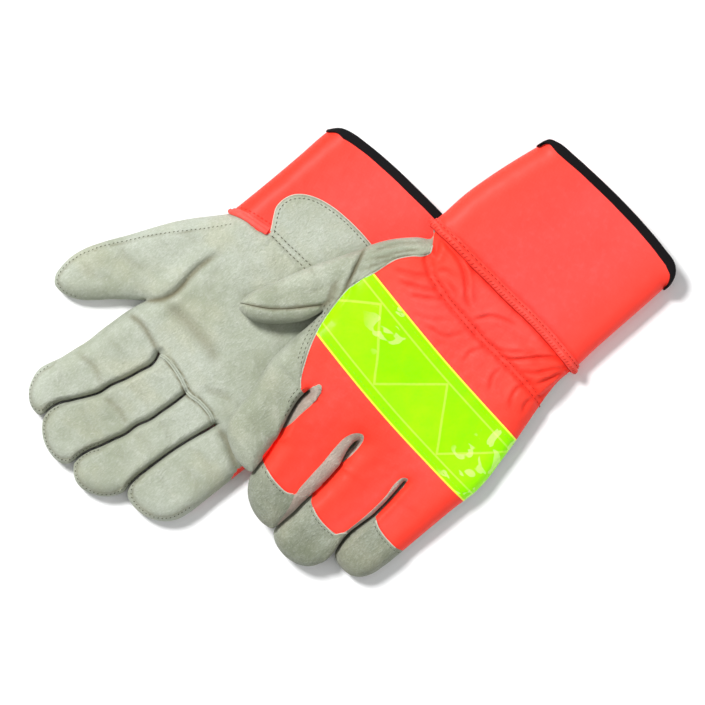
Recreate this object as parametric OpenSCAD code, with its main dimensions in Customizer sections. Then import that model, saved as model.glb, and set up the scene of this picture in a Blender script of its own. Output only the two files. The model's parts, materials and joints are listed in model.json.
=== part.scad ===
// A pair of leather-palm work gloves with high-visibility fabric backs and safety cuffs.
// The right glove lies palm up on the table, the left glove lies back up and rests partly on it.
// +Y points to the fingertips, +X to the thumbs, +Z up. Millimetres.

/* [Thickness] */
// Thickness of the leather panels
leather_t = 1.8; // [1.2:0.1:2.0]
// Thickness of the woven back fabric
fabric_t = 1.4; // [1.0:0.1:1.8]
// Thickness of the cotton lining
lining_t = 1.0; // [0.6:0.1:1.2]
// Thickness of the rubberised cuff wall
cuff_t = 1.6; // [1.2:0.1:2.0]
// Thickness of the reflective tape
tape_t = 0.4; // [0.3:0.05:0.5]

/* [Hand] */
// Height of each hand and cuff section in the middle
hand_h = 20; // [18:0.5:20]
// Radius of the domed upper surface of hand and cuff
dome_r = 400; // [380:10:440]
// Width of the reflective tape
tape_w = 48.5; // [40:0.5:50]

/* [Fingers] */
// Height of each empty finger
finger_h = 19; // [17:0.5:19]
// Radius of the finger's upper and lower curve
finger_r = 26; // [25:0.5:30]
// Height above a finger's underside where the palm-side panel starts
front_split = 12; // [11:0.5:13]
// Height above a finger's underside where the back panel ends
back_split = 7; // [6:0.5:8]

/* [Cuff] */
// Length the black binding covers at the mouth
binding_w = 5; // [4:0.5:6]
// Extra thickness of the binding on each side of the cuff wall
binding_t = 0.6; // [0.4:0.1:0.6]
// Width of the stitched hem where cuff meets hand
hem_w = 5.5; // [4:0.5:6]

/* [Layout] */
// Sideways tilt of the upper glove where it rests on the lower one
left_tilt = 10.5; // [10.3:0.1:12]

/* [Hidden] */
$fn = 64;

leather_c = [0.80, 0.82, 0.74];
orange_c = [1.0, 0.33, 0.25];
lime_c = [0.70, 1.0, 0.05];
black_c = [0.07, 0.06, 0.08];
lining_c = [0.93, 0.92, 0.88];
thread_c = [0.45, 0.47, 0.38];

gap = 0.06; // clearance between neighbouring pieces
hand_split = 7; // height where the upper and lower hand panels meet
tape_inset = 0.3; // from the sides of the hand to the tape ends
lining_depth = leather_t + gap; // from the outside of the hand to the lining
tab_t = 1.3; // height of the cuff's leather tab
welt_r = 1.2;
thread_w = 0.7;
thread_h = 0.3;

// ---------- Measured shapes ----------

// Side lines of each hand in plan, [x, y] from the wrist up.
R_LITTLE_SIDE = [[-55, -46], [-57.5, -25], [-61, 0], [-62.5, 20], [-62.5, 40], [-62, 57.5]];
R_THUMB_SIDE = [
    [51.5, -46], [50.3, -38], [48.3, -12], [47.3, 10], [47.8, 30.5], [54.3, 38], [56, 50]
];
L_LITTLE_SIDE = [
    [-141, -132], [-143, -120], [-147, -100], [-152, -84], [-157, -68], [-160.5, -50],
    [-161.3, -38], [-160.3, -22], [-160, -10]
];
L_THUMB_SIDE = [
    [-23, -126], [-26.5, -119], [-33, -110], [-29.5, -102], [-25, -92], [-22, -80],
    [-20.5, -68], [-20, -55], [-20.3, -40], [-21, -25], [-21, -10]
];

// Hands: [little finger side, thumb side, x of the dome's crest].
R_DOME_X = 2;
L_DOME_X = -85;
R_HAND = [R_LITTLE_SIDE, R_THUMB_SIDE, R_DOME_X];
L_HAND = [L_LITTLE_SIDE, L_THUMB_SIDE, L_DOME_X];

// Thumb side edge of the left glove's orange back, [x, y] from the wrist up.
L_BACK_EDGE = [
    [-26, -150], [-33, -110], [-31, -104], [-27, -96], [-24, -88], [-22.5, -78], [-22, -68],
    [-22.5, -57], [-24, -47], [-27, -37], [-30, -28], [-34, -19], [-39, -11], [-46, -5],
    [-46, 20]
];

// Fingers: [base centre, base width, tip centre, tip radius, fingertip seam from tip centre].
R_BASE_Y = 50;
R_INDEX = [[40.2, R_BASE_Y], 31, [50.6, 117.6], 11.6, 0];
R_MIDDLE = [[9.4, R_BASE_Y], 23, [23.4, 122.6], 15.4, -8];
R_RING = [[-17.3, R_BASE_Y], 23, [-9.2, 122.2], 15.0, -8];
R_LITTLE = [[-45.3, 58], 29, [-42.0, 104.6], 15.6, -8];
L_BASE_Y = -10;
L_INDEX = [[-39.0, L_BASE_Y], 30, [-47.6, 40.0], 14.8, 0];
L_MIDDLE = [[-71.6, L_BASE_Y], 26, [-82.8, 52.0], 14.8, -9];
L_RING = [[-111.2, L_BASE_Y], 26.5, [-116.4, 53.8], 15.8, -13];
L_LITTLE = [[-146.2, L_BASE_Y], 27, [-145.6, 34.2], 13.8, -16];

// Thumb outlines, [x, y] running clockwise.
R_THUMB_OUTLINE = [
    [52, -37.5], [50.7, -25], [49.3, -12], [48.6, 0], [48.3, 10], [48.5, 20], [49, 30.5],
    [54.5, 38], [60, 43.8], [66, 50.4], [72, 58], [78, 65], [84, 69.5], [90, 71.5],
    [95.5, 71.3], [99, 68], [101, 62], [102, 53], [100.5, 44], [96, 32], [90, 19], [84, 5],
    [78, -8], [71, -20], [65, -29], [60, -36]
];
L_THUMB_OUTLINE = [
    [-29, -104], [-24.6, -93], [-21.6, -82], [-19.8, -70], [-19.2, -57], [-18.6, -42],
    [-14, -32], [-8, -23], [0, -13.5], [6, -7.5], [11, -5], [14.6, -6], [16, -10],
    [15.5, -17], [12.5, -28], [9, -40], [5, -52], [1, -63], [-3, -73], [-6, -80],
    [-9, -88.5], [-13, -97], [-18, -104.5], [-23.5, -111], [-29, -113.5], [-31, -110]
];

// Thumbs: [outline, root, tip, height, opening x range, opening y range,
//     rim above and below the opening, panel seam height, height of the underside].
R_THUMB = [R_THUMB_OUTLINE, [66, -18], [91, 59], 18, [44, 54], [-27, 23], 6, 9.5, 0.6];
L_THUMB = [L_THUMB_OUTLINE, [-11, -68], [6.2, -15.0], 16.5, [-32, -16], [-90, -50], 5.5, 8, 21.9];

// Cuffs: [x range, y where the straight sides start, y of the hand end,
//     centre of the mouth arc, its radius, x of the dome's crest, height of the underside].
R_CUFF_Y = -46.6;
R_CUFF = [[-57, 61], -116, R_CUFF_Y, [2, 60], 191, R_DOME_X, 0.7];
L_CUFF = [[-141, -22.5], -206, -110, [-90, -28], 190, L_DOME_X, 1.6];

// The upper glove's cuff seam runs slightly across the hand.
CUFF_SEAM = [-84, -127.5];
CUFF_SEAM_ANGLE = 4.3;
seam_gap = 0.3; // from the seam to the pieces on each side

// ---------- Points and ranges ----------

curve_spans = 3; // straight spans between neighbouring points of a side line

function reversed(points) = [for (i = [len(points) - 1:-1:0]) points[i]];
function shift_x(points, shift) = [for (p = points) [p[0] + shift, p[1]]];
function last(points) = points[len(points) - 1];
function grown(range, by) = [range[0] - by, range[1] + by];
function heading(from, to) = atan2(to[1] - from[1], to[0] - from[0]);

// One point of a Catmull-Rom span between two points, with a neighbour on each side.
function curve_point(before, from, to, after, t) = 0.5 * (
    (2 * from) + (to - before) * t
    + (2 * before - 5 * from + 4 * to - after) * t * t
    + (3 * from - before - 3 * to + after) * t * t * t);

// Catmull-Rom curve through an open list of points.
function curve(points) = concat(
    [for (i = [0:len(points) - 2], k = [0:curve_spans - 1])
        curve_point(points[max(i - 1, 0)], points[i], points[i + 1],
            points[min(i + 2, len(points) - 1)], k / curve_spans)],
    [last(points)]);

// Clockwise outline moved inwards, square to the line through each point's neighbours.
function inward(points, inset) = let (n = len(points)) [for (i = [0:n - 1])
    let (d = points[(i + 1) % n] - points[(i + n - 1) % n], length = norm(d))
    [points[i][0] + inset * d[1] / length, points[i][1] - inset * d[0] / length]];

// ---------- Shared solids ----------

// Box from its [from, to] ranges.
module block(x, y, z = [-5, 60]) {
    translate([x[0], y[0], z[0]]) cube([x[1] - x[0], y[1] - y[0], z[1] - z[0]]);
}

module prism(z = -5, height = 60) {
    translate([0, 0, z]) linear_extrude(height) children();
}

// Flat underneath at z and domed on top, grown on both faces.
module dome(x, z, grow = 0) {
    intersection() {
        translate([x, 90, hand_h - dome_r]) rotate([90, 0, 0])
            cylinder(r = dome_r + grow, h = 350, $fn = 180);
        translate([x - 120, -260, z - grow]) cube([240, 350, 60]);
    }
}

// Layer between two heights over the dome. Users cut it off above its flat underside.
module dome_layer(x, low, high) {
    difference() {
        dome(x, 0, high);
        dome(x, -4, low);
    }
}

// Thread along a straight row on the dome; x is its range before turning about its middle.
module thread_row(dome_x, x, y, lift = gap, angle = 0) {
    length = x[1] - x[0];
    intersection() {
        dome_layer(dome_x, lift, lift + thread_h);
        translate([(x[0] + x[1]) / 2, y, 0]) rotate([0, 0, angle])
            translate([-length / 2, -thread_w / 2, 8]) cube([length, thread_w, 40]);
    }
}

module welt_rod(start, length, radius = welt_r) {
    translate(start) rotate([0, 90, 0]) cylinder(r = radius, h = length, $fn = 24);
}

// Hand plan, inset at the sides and lengthened past both ends.
module hand_plan(hand, inset = 0, ends = 0) {
    little = shift_x(curve(hand[0]), inset);
    thumb = shift_x(curve(hand[1]), -inset);
    down = [0, -ends];
    polygon(concat(
        ends > 0 ? [little[0] + down] : [],
        little,
        ends > 0 ? [last(little) - down, last(thumb) - down] : [],
        reversed(thumb),
        ends > 0 ? [thumb[0] + down] : []));
}

// Everything of a hand deeper than inset; by default it runs out through both ends.
module hand_core(hand, inset, ends = 14) {
    intersection() {
        prism() hand_plan(hand, inset, ends);
        dome(hand[2], 0, -inset);
    }
}

// ---------- Right hand ----------

R_ELASTIC_X = [-48, 44];
R_ELASTIC_Y = [-33.5, -26.5];
R_STEP_X = -30; // where the hand steps up to the base of the little finger

module right_hand_plan() {
    polygon(concat(
        curve(R_LITTLE_SIDE),
        [[R_STEP_X, last(R_LITTLE_SIDE)[1]], [R_STEP_X, R_BASE_Y]],
        reversed(curve(R_THUMB_SIDE))));
}

module right_window() { // where the thumb opens into the palm
    block([40, 70], [-30, 26], [4, 15.5]);
}

module right_hand_shell(wall) {
    difference() {
        intersection() {
            prism() right_hand_plan();
            dome(R_DOME_X, 0);
        }
        hand_core(R_HAND, wall);
        right_window();
    }
}

module right_welt_rod(x, radius = welt_r) {
    welt_rod([x[0], R_BASE_Y - 1.6, hand_h - 1.5], x[1] - x[0], radius);
}

module right_palm_panel() {
    color(leather_c) difference() {
        right_hand_shell(leather_t);
        block([-100, 100], [-80, 80], [-5, hand_split]);
        right_welt_rod([-30, 22], welt_r + 0.1);
    }
}

module right_back_panel() {
    tape_y = [-tape_w / 2, tape_w / 2];
    color(orange_c) difference() {
        right_hand_shell(fabric_t);
        block([-100, 100], [-80, 80], [hand_split - gap, 60]);
        block([-100, 100], grown(tape_y, gap), [-5, tape_t + gap]);
    }
}

module right_reflective_tape() {
    color(lime_c) linear_extrude(tape_t) intersection() {
        hand_plan(R_HAND, tape_inset);
        translate([-100, -tape_w / 2]) square([200, tape_w]);
    }
}

// Rounded leather welt along the base of the two middle fingers.
module right_finger_base_welt() {
    color(leather_c) right_welt_rod([-29.5, 21.5]);
}

module right_hand_lining() {
    color(lining_c) difference() {
        intersection() {
            hand_core(R_HAND, lining_depth);
            block([-80, 80], [-45.5, 49]);
        }
        hand_core(R_HAND, lining_depth + lining_t);
        right_window();
        block(grown(R_ELASTIC_X, 0.5), grown(R_ELASTIC_Y, 0.5), [0, leather_t + lining_t + 0.5]);
        right_welt_rod([-40, 30], welt_r + 0.8);
    }
}

module right_wrist_elastic() {
    color(lining_c) block(R_ELASTIC_X, R_ELASTIC_Y, [1.92, 2.7]);
}

module right_stitching() {
    color(thread_c) {
        thread_row(R_DOME_X, [-38, 35], -42.4);
        thread_row(R_DOME_X, [-28, 20], 44.6);
    }
}

// ---------- Cuffs ----------

mouth_reach = 24; // the plan's lower limit, below the start of the straight sides

// Straight strip as wide as the cuff, grown at both sides.
module cuff_strip(cuff, grow, y, length) {
    x = grown(cuff[0], grow);
    translate([x[0], y]) square([x[1] - x[0], length]);
}

module mouth_disc(cuff, grow = 0) {
    translate(cuff[3]) circle(r = cuff[4] + grow, $fn = 160);
}

module cuff_plan(cuff, inset, ends) {
    low = cuff[1] - mouth_reach;
    intersection() {
        cuff_strip(cuff, -inset, low - ends, cuff[2] - low + 2 * ends);
        union() {
            cuff_strip(cuff, -inset, cuff[1] - ends, 140);
            translate([0, -2 * ends]) mouth_disc(cuff);
        }
    }
}

module cuff_dome(cuff, grow) {
    dome(cuff[5], cuff[6], grow);
}

module cuff_solid(cuff, inset, ends) {
    intersection() {
        prism() cuff_plan(cuff, inset, ends);
        cuff_dome(cuff, -inset);
    }
}

// Cuff wall, open at both ends.
module cuff_shell(cuff) {
    difference() {
        cuff_solid(cuff, 0, 0);
        cuff_solid(cuff, cuff_t, 8);
    }
}

// Band that wraps the mouth edge inside and outside, with a slot for the cuff wall.
module cuff_binding(cuff) {
    low = cuff[1] - mouth_reach - 10;
    difference() {
        intersection() {
            prism() intersection() {
                cuff_strip(cuff, binding_t, low, 100);
                difference() {
                    mouth_disc(cuff, binding_t + gap);
                    mouth_disc(cuff, -binding_w);
                }
            }
            cuff_dome(cuff, binding_t);
        }
        // slot for the upper and lower walls
        intersection() {
            prism() intersection() {
                mouth_disc(cuff, gap / 2);
                cuff_strip(cuff, gap, low, 120);
            }
            difference() {
                cuff_dome(cuff, gap);
                cuff_dome(cuff, -cuff_t - gap);
            }
        }
        // slots for the side walls
        intersection() {
            prism() difference() {
                cuff_strip(cuff, gap, low, 120);
                cuff_strip(cuff, -cuff_t - gap, low - 2, 124);
            }
            cuff_dome(cuff, gap);
        }
        // mouth opening
        intersection() {
            prism() cuff_strip(cuff, -cuff_t - binding_t, low - 2, 124);
            cuff_dome(cuff, -cuff_t - binding_t);
        }
    }
}

// Round-ended tab lying along X.
module tab_plan(centre, grow = 0) {
    radius = 19.6 + grow;
    half = 24.4; // from the middle to each end's centre
    translate(centre + [-half, 0]) circle(r = radius);
    translate(centre + [half, 0]) circle(r = radius);
    translate(centre - [half, radius]) square([2 * half, 2 * radius]);
}

R_TAB = [2, -67.5];
L_TAB = [-84, -152];

module right_cuff_shell() {
    color(orange_c) cuff_shell(R_CUFF);
}

module right_cuff_binding() {
    color(black_c) cuff_binding(R_CUFF);
}

module right_cuff_leather_tab() {
    color(leather_c) intersection() {
        prism(5, 40) tab_plan(R_TAB);
        dome_layer(R_DOME_X, gap, tab_t);
    }
}

module right_cuff_hem() {
    hem_y = [R_CUFF_Y - hem_w, R_CUFF_Y];
    color(orange_c) {
        // visible fold beside the thumb
        difference() {
            intersection() {
                block([37.5, R_CUFF[0][1]], hem_y, [8, 40]);
                dome_layer(R_DOME_X, gap, 1.0);
            }
            prism(0) tab_plan(R_TAB, 0.5);
        }
        // fold along the underside
        block([-56, 60], hem_y, [0.05, 0.63]);
    }
}

module right_cuff_stitching() {
    color(thread_c) {
        thread_row(R_DOME_X, [-26, 30], -50.2, tab_t + gap);
        thread_row(R_DOME_X, [-24, 28], -84.2, tab_t + gap);
    }
}

// ---------- Fingers and thumbs ----------

// Ranges in a finger's own frame: across it, each half of it, and from below its base.
ACROSS = [-60, 60];
MINUS_HALF = [-60, 0];
PLUS_HALF = [0, 60];
TIP_END = 60;
BASE_END = -150;
ALONG = [BASE_END, TIP_END];

// Frame with its origin at the tip centre and +Y along the digit.
module along(tip, angle) {
    translate([tip[0], tip[1], 0]) rotate([0, 0, angle - 90]) children();
}

module barrel(z, radius, facets) {
    translate([0, 60, z]) rotate([90, 0, 0]) cylinder(r = radius, h = 220, $fn = facets);
}

// Finger or thumb body: an outline between an upper and a lower curved face.
module digit(outline, tip, angle, height, radius, inset, facets) {
    intersection() {
        prism(height = 40) polygon(outline);
        along(tip, angle) barrel(height - radius, radius - inset, facets);
        along(tip, angle) barrel(radius, radius - inset, facets);
    }
}

function tip_seam(finger) = finger[4];

// From the base round the tip; an inset outline runs out through the base.
function finger_outline(finger, inset) = let (
        base = finger[0],
        half = finger[1] / 2 - inset,
        tip = finger[2],
        radius = finger[3] - inset,
        base_y = base[1] + (inset > 0 ? -6 : 0.5),
        start = heading(base, tip) - 90)
    concat(
        [[base[0] - half, base_y], [base[0] + half, base_y]],
        [for (k = [0:12]) let (a = start + k * 15) tip + radius * [cos(a), sin(a)]]);

module finger_solid(finger, inset) {
    digit(finger_outline(finger, inset), finger[2], heading(finger[0], finger[2]),
        finger_h, finger_r, inset, facets = 120);
}

module finger_shell(finger, wall) {
    difference() {
        finger_solid(finger, 0);
        finger_solid(finger, wall);
    }
}

module finger_block(finger, x, y, z) {
    along(finger[2], heading(finger[0], finger[2])) block(x, y, z);
}

// The panels below are drawn palm side up.
module finger_front(finger) {
    color(leather_c) difference() {
        finger_shell(finger, leather_t);
        finger_block(finger, ACROSS, ALONG, [-10, front_split]);
    }
}

module finger_back(finger) {
    color(orange_c) intersection() {
        finger_shell(finger, fabric_t);
        finger_block(finger, ACROSS, [BASE_END, tip_seam(finger) - gap], [-10, back_split - gap]);
    }
}

module finger_tip(finger) {
    color(leather_c) intersection() {
        finger_shell(finger, leather_t);
        finger_block(finger, ACROSS, [tip_seam(finger), TIP_END], [-10, front_split - gap]);
    }
}

// Side strip on one half of the finger.
module finger_fourchette(finger, half) {
    color(leather_c) intersection() {
        finger_shell(finger, leather_t - 0.4);
        finger_block(finger, half, [BASE_END, tip_seam(finger) - gap],
            [back_split, front_split - gap]);
    }
}

module finger_fourchettes(finger) {
    finger_fourchette(finger, PLUS_HALF);
    finger_fourchette(finger, MINUS_HALF);
}

// The index finger is leather all round: its back piece wraps the +X side and the tip.
module index_back(finger) {
    color(leather_c) difference() {
        finger_shell(finger, leather_t);
        finger_block(finger, ACROSS, ALONG, [front_split - gap, 60]);
        finger_block(finger, MINUS_HALF, [BASE_END, tip_seam(finger)], [back_split - gap, 60]);
    }
}

// The little finger's -X side belongs to its back panel.
module little_back(finger) {
    color(orange_c) difference() {
        finger_shell(finger, fabric_t);
        finger_block(finger, ACROSS, ALONG, [front_split - gap, 60]);
        finger_block(finger, ACROSS, [tip_seam(finger) - gap, TIP_END], [-10, 60]);
        finger_block(finger, PLUS_HALF, ALONG, [back_split - gap, 60]);
    }
}

module thumb_solid(thumb, inset) {
    digit(inward(thumb[0], inset), thumb[2], heading(thumb[1], thumb[2]),
        thumb[3], 80, inset, facets = 160);
}

// Thumb with its underside at zero and its opening into the hand.
module thumb_shell(thumb) {
    rim = thumb[6];
    difference() {
        thumb_solid(thumb, 0);
        thumb_solid(thumb, leather_t);
        block(thumb[4], thumb[5], [rim, thumb[3] - rim]);
    }
}

module below_thumb_seam(thumb, clearance = 0) {
    block([-200, 200], [-200, 100], [-10, thumb[7] - clearance]);
}

module thumb_upper(thumb) {
    color(leather_c) translate([0, 0, thumb[8]]) difference() {
        thumb_shell(thumb);
        below_thumb_seam(thumb);
    }
}

module thumb_lower(thumb) {
    color(leather_c) translate([0, 0, thumb[8]]) intersection() {
        thumb_shell(thumb);
        below_thumb_seam(thumb, gap);
    }
}

// The right palm faces up, the left palm faces down.
module right_thumb_front() { thumb_upper(R_THUMB); }
module right_thumb_back() { thumb_lower(R_THUMB); }
module left_thumb_front() { thumb_lower(L_THUMB); }
module left_thumb_back() { thumb_upper(L_THUMB); }

// ---------- Upper glove ----------

finger_lift = 0.5; // fingers sit this far above the underside of the hand

module right_finger_at() {
    translate([0, 0, finger_lift]) children();
}

// Tilts the upper glove about the edge it rests on.
module left_place() {
    edge_x = -150;
    translate([edge_x, 0, 2.1]) rotate([0, -left_tilt, 0]) translate([-edge_x, 0, 0]) children();
}

// Fingers of the upper glove are drawn palm up and turned over in place.
module left_finger_at() {
    left_place() translate([0, 0, finger_h + finger_lift]) mirror([0, 0, 1]) children();
}

// 200 long slab square to the cuff seam, starting at y from it.
module seam_slab(y) {
    translate([CUFF_SEAM[0], CUFF_SEAM[1], 0]) rotate([0, 0, CUFF_SEAM_ANGLE])
        translate([-150, y, -20]) cube([300, 200, 80]);
}

module hand_side(distance) { seam_slab(distance); }
module cuff_side(distance) { seam_slab(-distance - 200); }

module left_window(x) { // where the thumb opens into the palm
    block(x, [-88, -50], [3, 10]);
}

module left_hand_shell(wall) {
    difference() {
        intersection() {
            hand_core(L_HAND, 0, ends = 0);
            hand_side(seam_gap);
        }
        hand_core(L_HAND, wall);
        left_window([-30, -10]);
    }
}

// Plan of the orange back, bounded by the leather that wraps round from the palm.
module left_back_plan(inset = 0) {
    polygon(concat([[-170, -150]], shift_x(L_BACK_EDGE, -inset), [[-170, 20]]));
}

module left_palm_panel() {
    color(leather_c) left_place() difference() {
        left_hand_shell(leather_t);
        prism(hand_split - gap) left_back_plan(-gap);
    }
}

module left_back_panel() {
    color(orange_c) left_place() intersection() {
        left_hand_shell(fabric_t);
        prism(hand_split) left_back_plan();
    }
}

module left_reflective_tape() {
    color(lime_c) left_place() intersection() {
        dome_layer(L_DOME_X, gap, gap + tape_t);
        prism(8) intersection() {
            hand_plan(L_HAND, tape_inset);
            left_back_plan(0.5);
            translate([-170, -78]) square([160, tape_w]);
        }
    }
}

// The welt is on the palm side, underneath.
module left_finger_base_welt() {
    color(leather_c) left_place() welt_rod([-126, L_BASE_Y - 2, 3.2], 66);
}

module left_elastic_strip(grow = 0) {
    top = -leather_t - 0.12;
    intersection() {
        dome_layer(L_DOME_X, top - 0.7 - grow, top + grow);
        block(grown([-142, -38], grow), grown([-107.5, -100.5], grow), [8 - grow, 60]);
    }
}

module left_hand_lining() {
    color(lining_c) left_place() difference() {
        intersection() {
            hand_core(L_HAND, lining_depth, ends = 6);
            block([-170, -10], [-140, -14]);
            hand_side(0.8);
        }
        hand_core(L_HAND, lining_depth + lining_t);
        left_window([-36, -12]);
        left_elastic_strip(0.15);
    }
}

module left_wrist_elastic() {
    color(lining_c) left_place() left_elastic_strip();
}

module left_stitching() {
    on_tape = gap + tape_t + gap;
    color(thread_c) left_place() {
        thread_row(L_DOME_X, [-143, -36], -102.4);
        thread_row(L_DOME_X, [-143, -36], -106.0);
        thread_row(L_DOME_X, [-156, -28], -32, on_tape);
        thread_row(L_DOME_X, [-152, -24], -75.5, on_tape);
    }
}

module left_cuff_shell() {
    color(orange_c) left_place() intersection() {
        cuff_shell(L_CUFF);
        cuff_side(seam_gap);
    }
}

module left_cuff_binding() {
    color(black_c) left_place() cuff_binding(L_CUFF);
}

module left_cuff_leather_tab() { // on the palm side, underneath
    color(leather_c) left_place() prism(0.2, tab_t) tab_plan(L_TAB);
}

left_hem_t = 1.8; // height of the hem over the dome

module left_cuff_hem() {
    color(orange_c) left_place() intersection() {
        dome_layer(L_DOME_X, gap, left_hem_t);
        prism(8.5) cuff_strip(L_CUFF, 1, -240, 200);
        difference() {
            cuff_side(seam_gap);
            cuff_side(seam_gap + hem_w);
        }
    }
}

module left_cuff_stitching() {
    row_x = [-138, -27];
    color(thread_c) left_place() {
        thread_row(L_DOME_X, row_x, -131.0, left_hem_t + gap, CUFF_SEAM_ANGLE);
        thread_row(L_DOME_X, row_x, -136.8, gap, CUFF_SEAM_ANGLE);
    }
}

// ---------- Assembly ----------

right_palm_panel();
right_back_panel();
right_reflective_tape();
right_finger_base_welt();
right_hand_lining();
right_wrist_elastic();
right_stitching();
right_cuff_shell();
right_cuff_binding();
right_cuff_leather_tab();
right_cuff_hem();
right_cuff_stitching();

right_finger_at() finger_front(R_INDEX);  // right_index_front
right_finger_at() index_back(R_INDEX);  // right_index_back
right_finger_at() finger_fourchette(R_INDEX, MINUS_HALF);  // right_index_fourchette
right_finger_at() finger_front(R_MIDDLE);  // right_middle_front
right_finger_at() finger_back(R_MIDDLE);  // right_middle_back
right_finger_at() finger_tip(R_MIDDLE);  // right_middle_fingertip
right_finger_at() finger_fourchettes(R_MIDDLE);  // right_middle_fourchettes
right_finger_at() finger_front(R_RING);  // right_ring_front
right_finger_at() finger_back(R_RING);  // right_ring_back
right_finger_at() finger_tip(R_RING);  // right_ring_fingertip
right_finger_at() finger_fourchettes(R_RING);  // right_ring_fourchettes
right_finger_at() finger_front(R_LITTLE);  // right_little_front
right_finger_at() little_back(R_LITTLE);  // right_little_back
right_finger_at() finger_tip(R_LITTLE);  // right_little_fingertip
right_finger_at() finger_fourchette(R_LITTLE, PLUS_HALF);  // right_little_fourchette
right_thumb_front();
right_thumb_back();

left_palm_panel();
left_back_panel();
left_reflective_tape();
left_finger_base_welt();
left_hand_lining();
left_wrist_elastic();
left_stitching();
left_cuff_shell();
left_cuff_binding();
left_cuff_leather_tab();
left_cuff_hem();
left_cuff_stitching();

left_finger_at() finger_front(L_INDEX);  // left_index_front
left_finger_at() index_back(L_INDEX);  // left_index_back
left_finger_at() finger_fourchette(L_INDEX, MINUS_HALF);  // left_index_fourchette
left_finger_at() finger_front(L_MIDDLE);  // left_middle_front
left_finger_at() finger_back(L_MIDDLE);  // left_middle_back
left_finger_at() finger_tip(L_MIDDLE);  // left_middle_fingertip
left_finger_at() finger_fourchettes(L_MIDDLE);  // left_middle_fourchettes
left_finger_at() finger_front(L_RING);  // left_ring_front
left_finger_at() finger_back(L_RING);  // left_ring_back
left_finger_at() finger_tip(L_RING);  // left_ring_fingertip
left_finger_at() finger_fourchettes(L_RING);  // left_ring_fourchettes
left_finger_at() finger_front(L_LITTLE);  // left_little_front
left_finger_at() little_back(L_LITTLE);  // left_little_back
left_finger_at() finger_tip(L_LITTLE);  // left_little_fingertip
left_finger_at() finger_fourchette(L_LITTLE, PLUS_HALF);  // left_little_fourchette
left_thumb_front();
left_thumb_back();
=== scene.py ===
# A pair of work gloves lying on a table, fingers towards +y and thumbs towards +x.
# The right glove lies palm up, flat on the table (z = 0). The left one lies back up: its -x side
# is on the table and it rises towards +x, where it rests on the right glove.
# Shapes are in millimetres and turned into metres when a mesh is built. The stage is in metres.

import json
import math

import bpy
import numpy as np
from mathutils import Matrix, Vector
from mathutils.geometry import delaunay_2d_cdt


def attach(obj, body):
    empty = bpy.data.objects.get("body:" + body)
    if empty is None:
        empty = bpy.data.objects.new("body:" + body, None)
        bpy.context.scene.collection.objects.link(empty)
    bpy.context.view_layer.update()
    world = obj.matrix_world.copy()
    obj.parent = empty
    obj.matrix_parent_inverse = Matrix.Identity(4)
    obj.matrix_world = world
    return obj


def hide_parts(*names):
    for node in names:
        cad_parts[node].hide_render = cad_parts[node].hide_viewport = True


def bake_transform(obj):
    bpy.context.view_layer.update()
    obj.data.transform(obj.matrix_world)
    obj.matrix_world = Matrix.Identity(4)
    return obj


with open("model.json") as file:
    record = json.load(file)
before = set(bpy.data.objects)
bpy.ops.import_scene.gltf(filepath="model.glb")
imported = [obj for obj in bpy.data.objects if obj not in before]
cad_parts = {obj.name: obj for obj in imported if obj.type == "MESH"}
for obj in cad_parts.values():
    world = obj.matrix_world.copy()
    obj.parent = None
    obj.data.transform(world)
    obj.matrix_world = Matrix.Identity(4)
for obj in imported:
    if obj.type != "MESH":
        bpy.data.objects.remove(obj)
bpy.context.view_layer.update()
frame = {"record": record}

MM = 0.001
TOP_SPACING = 1.45    # mesh size on the upper sheets
BOTTOM_SPACING = 2.4  # mesh size on the undersides
GATHER = 0.25         # modelled share of the wrist gathers; cloth gives the rest
FINGERS = ("little", "ring", "middle")

# ------------------------------------------------------------------ reading the tables


def points(text):
    """Places in the plane from "x,y x,y ..."."""
    return np.array([[float(value) for value in pair.split(",")] for pair in text.split()])


def lines(text):
    """One line of places for each paragraph."""
    return [points(part) for part in text.split("\n\n")]


def join(*parts):
    """One line from several, each given as text or as places."""
    return np.vstack([points(part) if isinstance(part, str) else part for part in parts])


def fold_rows(text):
    """Amount, width and line from each row "amount width x,y x,y ..."."""
    for row in text.strip().splitlines():
        amount, width, line = row.split(None, 2)
        yield float(amount), float(width), points(line)


# ------------------------------------------------------------------ curves in the plane


def unit(vectors):
    return vectors / np.maximum(np.linalg.norm(vectors, axis=-1, keepdims=True), 1e-12)


def arc_length(line):
    return np.r_[0, np.cumsum(np.linalg.norm(np.diff(line, axis=0), axis=1))]


def sample(line, along, wanted):
    """The line's places (or any columns) at the wanted lengths."""
    return np.stack([np.interp(wanted, along, column) for column in line.T], 1)


def resample(line, step):
    """The same polyline with points about step apart."""
    gaps = np.linalg.norm(np.diff(line, axis=0), axis=1)
    line = line[np.r_[True, gaps > 1e-9]]
    along = arc_length(line)
    count = max(int(round(along[-1] / step)), 1)
    return sample(line, along, np.linspace(0, along[-1], count + 1))


def smooth(line, step=1.2):
    """Cubic curve through three or more points, even in speed, resampled to step."""
    steps = np.diff(line, axis=0)
    gap = np.linalg.norm(steps, axis=1)
    chord = steps / gap[:, None]
    slope = np.zeros_like(line)
    slope[0], slope[-1] = chord[0], chord[-1]
    slope[1:-1] = ((chord[:-1] * gap[1:, None] + chord[1:] * gap[:-1, None])
                   / (gap[1:] + gap[:-1])[:, None])
    t = np.linspace(0, 1, 17)[:-1, None]
    curve = [(2 * t**3 - 3 * t**2 + 1) * line[i] + (t**3 - 2 * t**2 + t) * gap[i] * slope[i]
             + (-2 * t**3 + 3 * t**2) * line[i + 1] + (t**3 - t**2) * gap[i] * slope[i + 1]
             for i in range(len(gap))]
    return resample(np.vstack(curve + [line[-1:]]), step)


def left_normal(line):
    along = unit(np.gradient(line, axis=0))
    return np.stack([-along[:, 1], along[:, 0]], 1)


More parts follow.
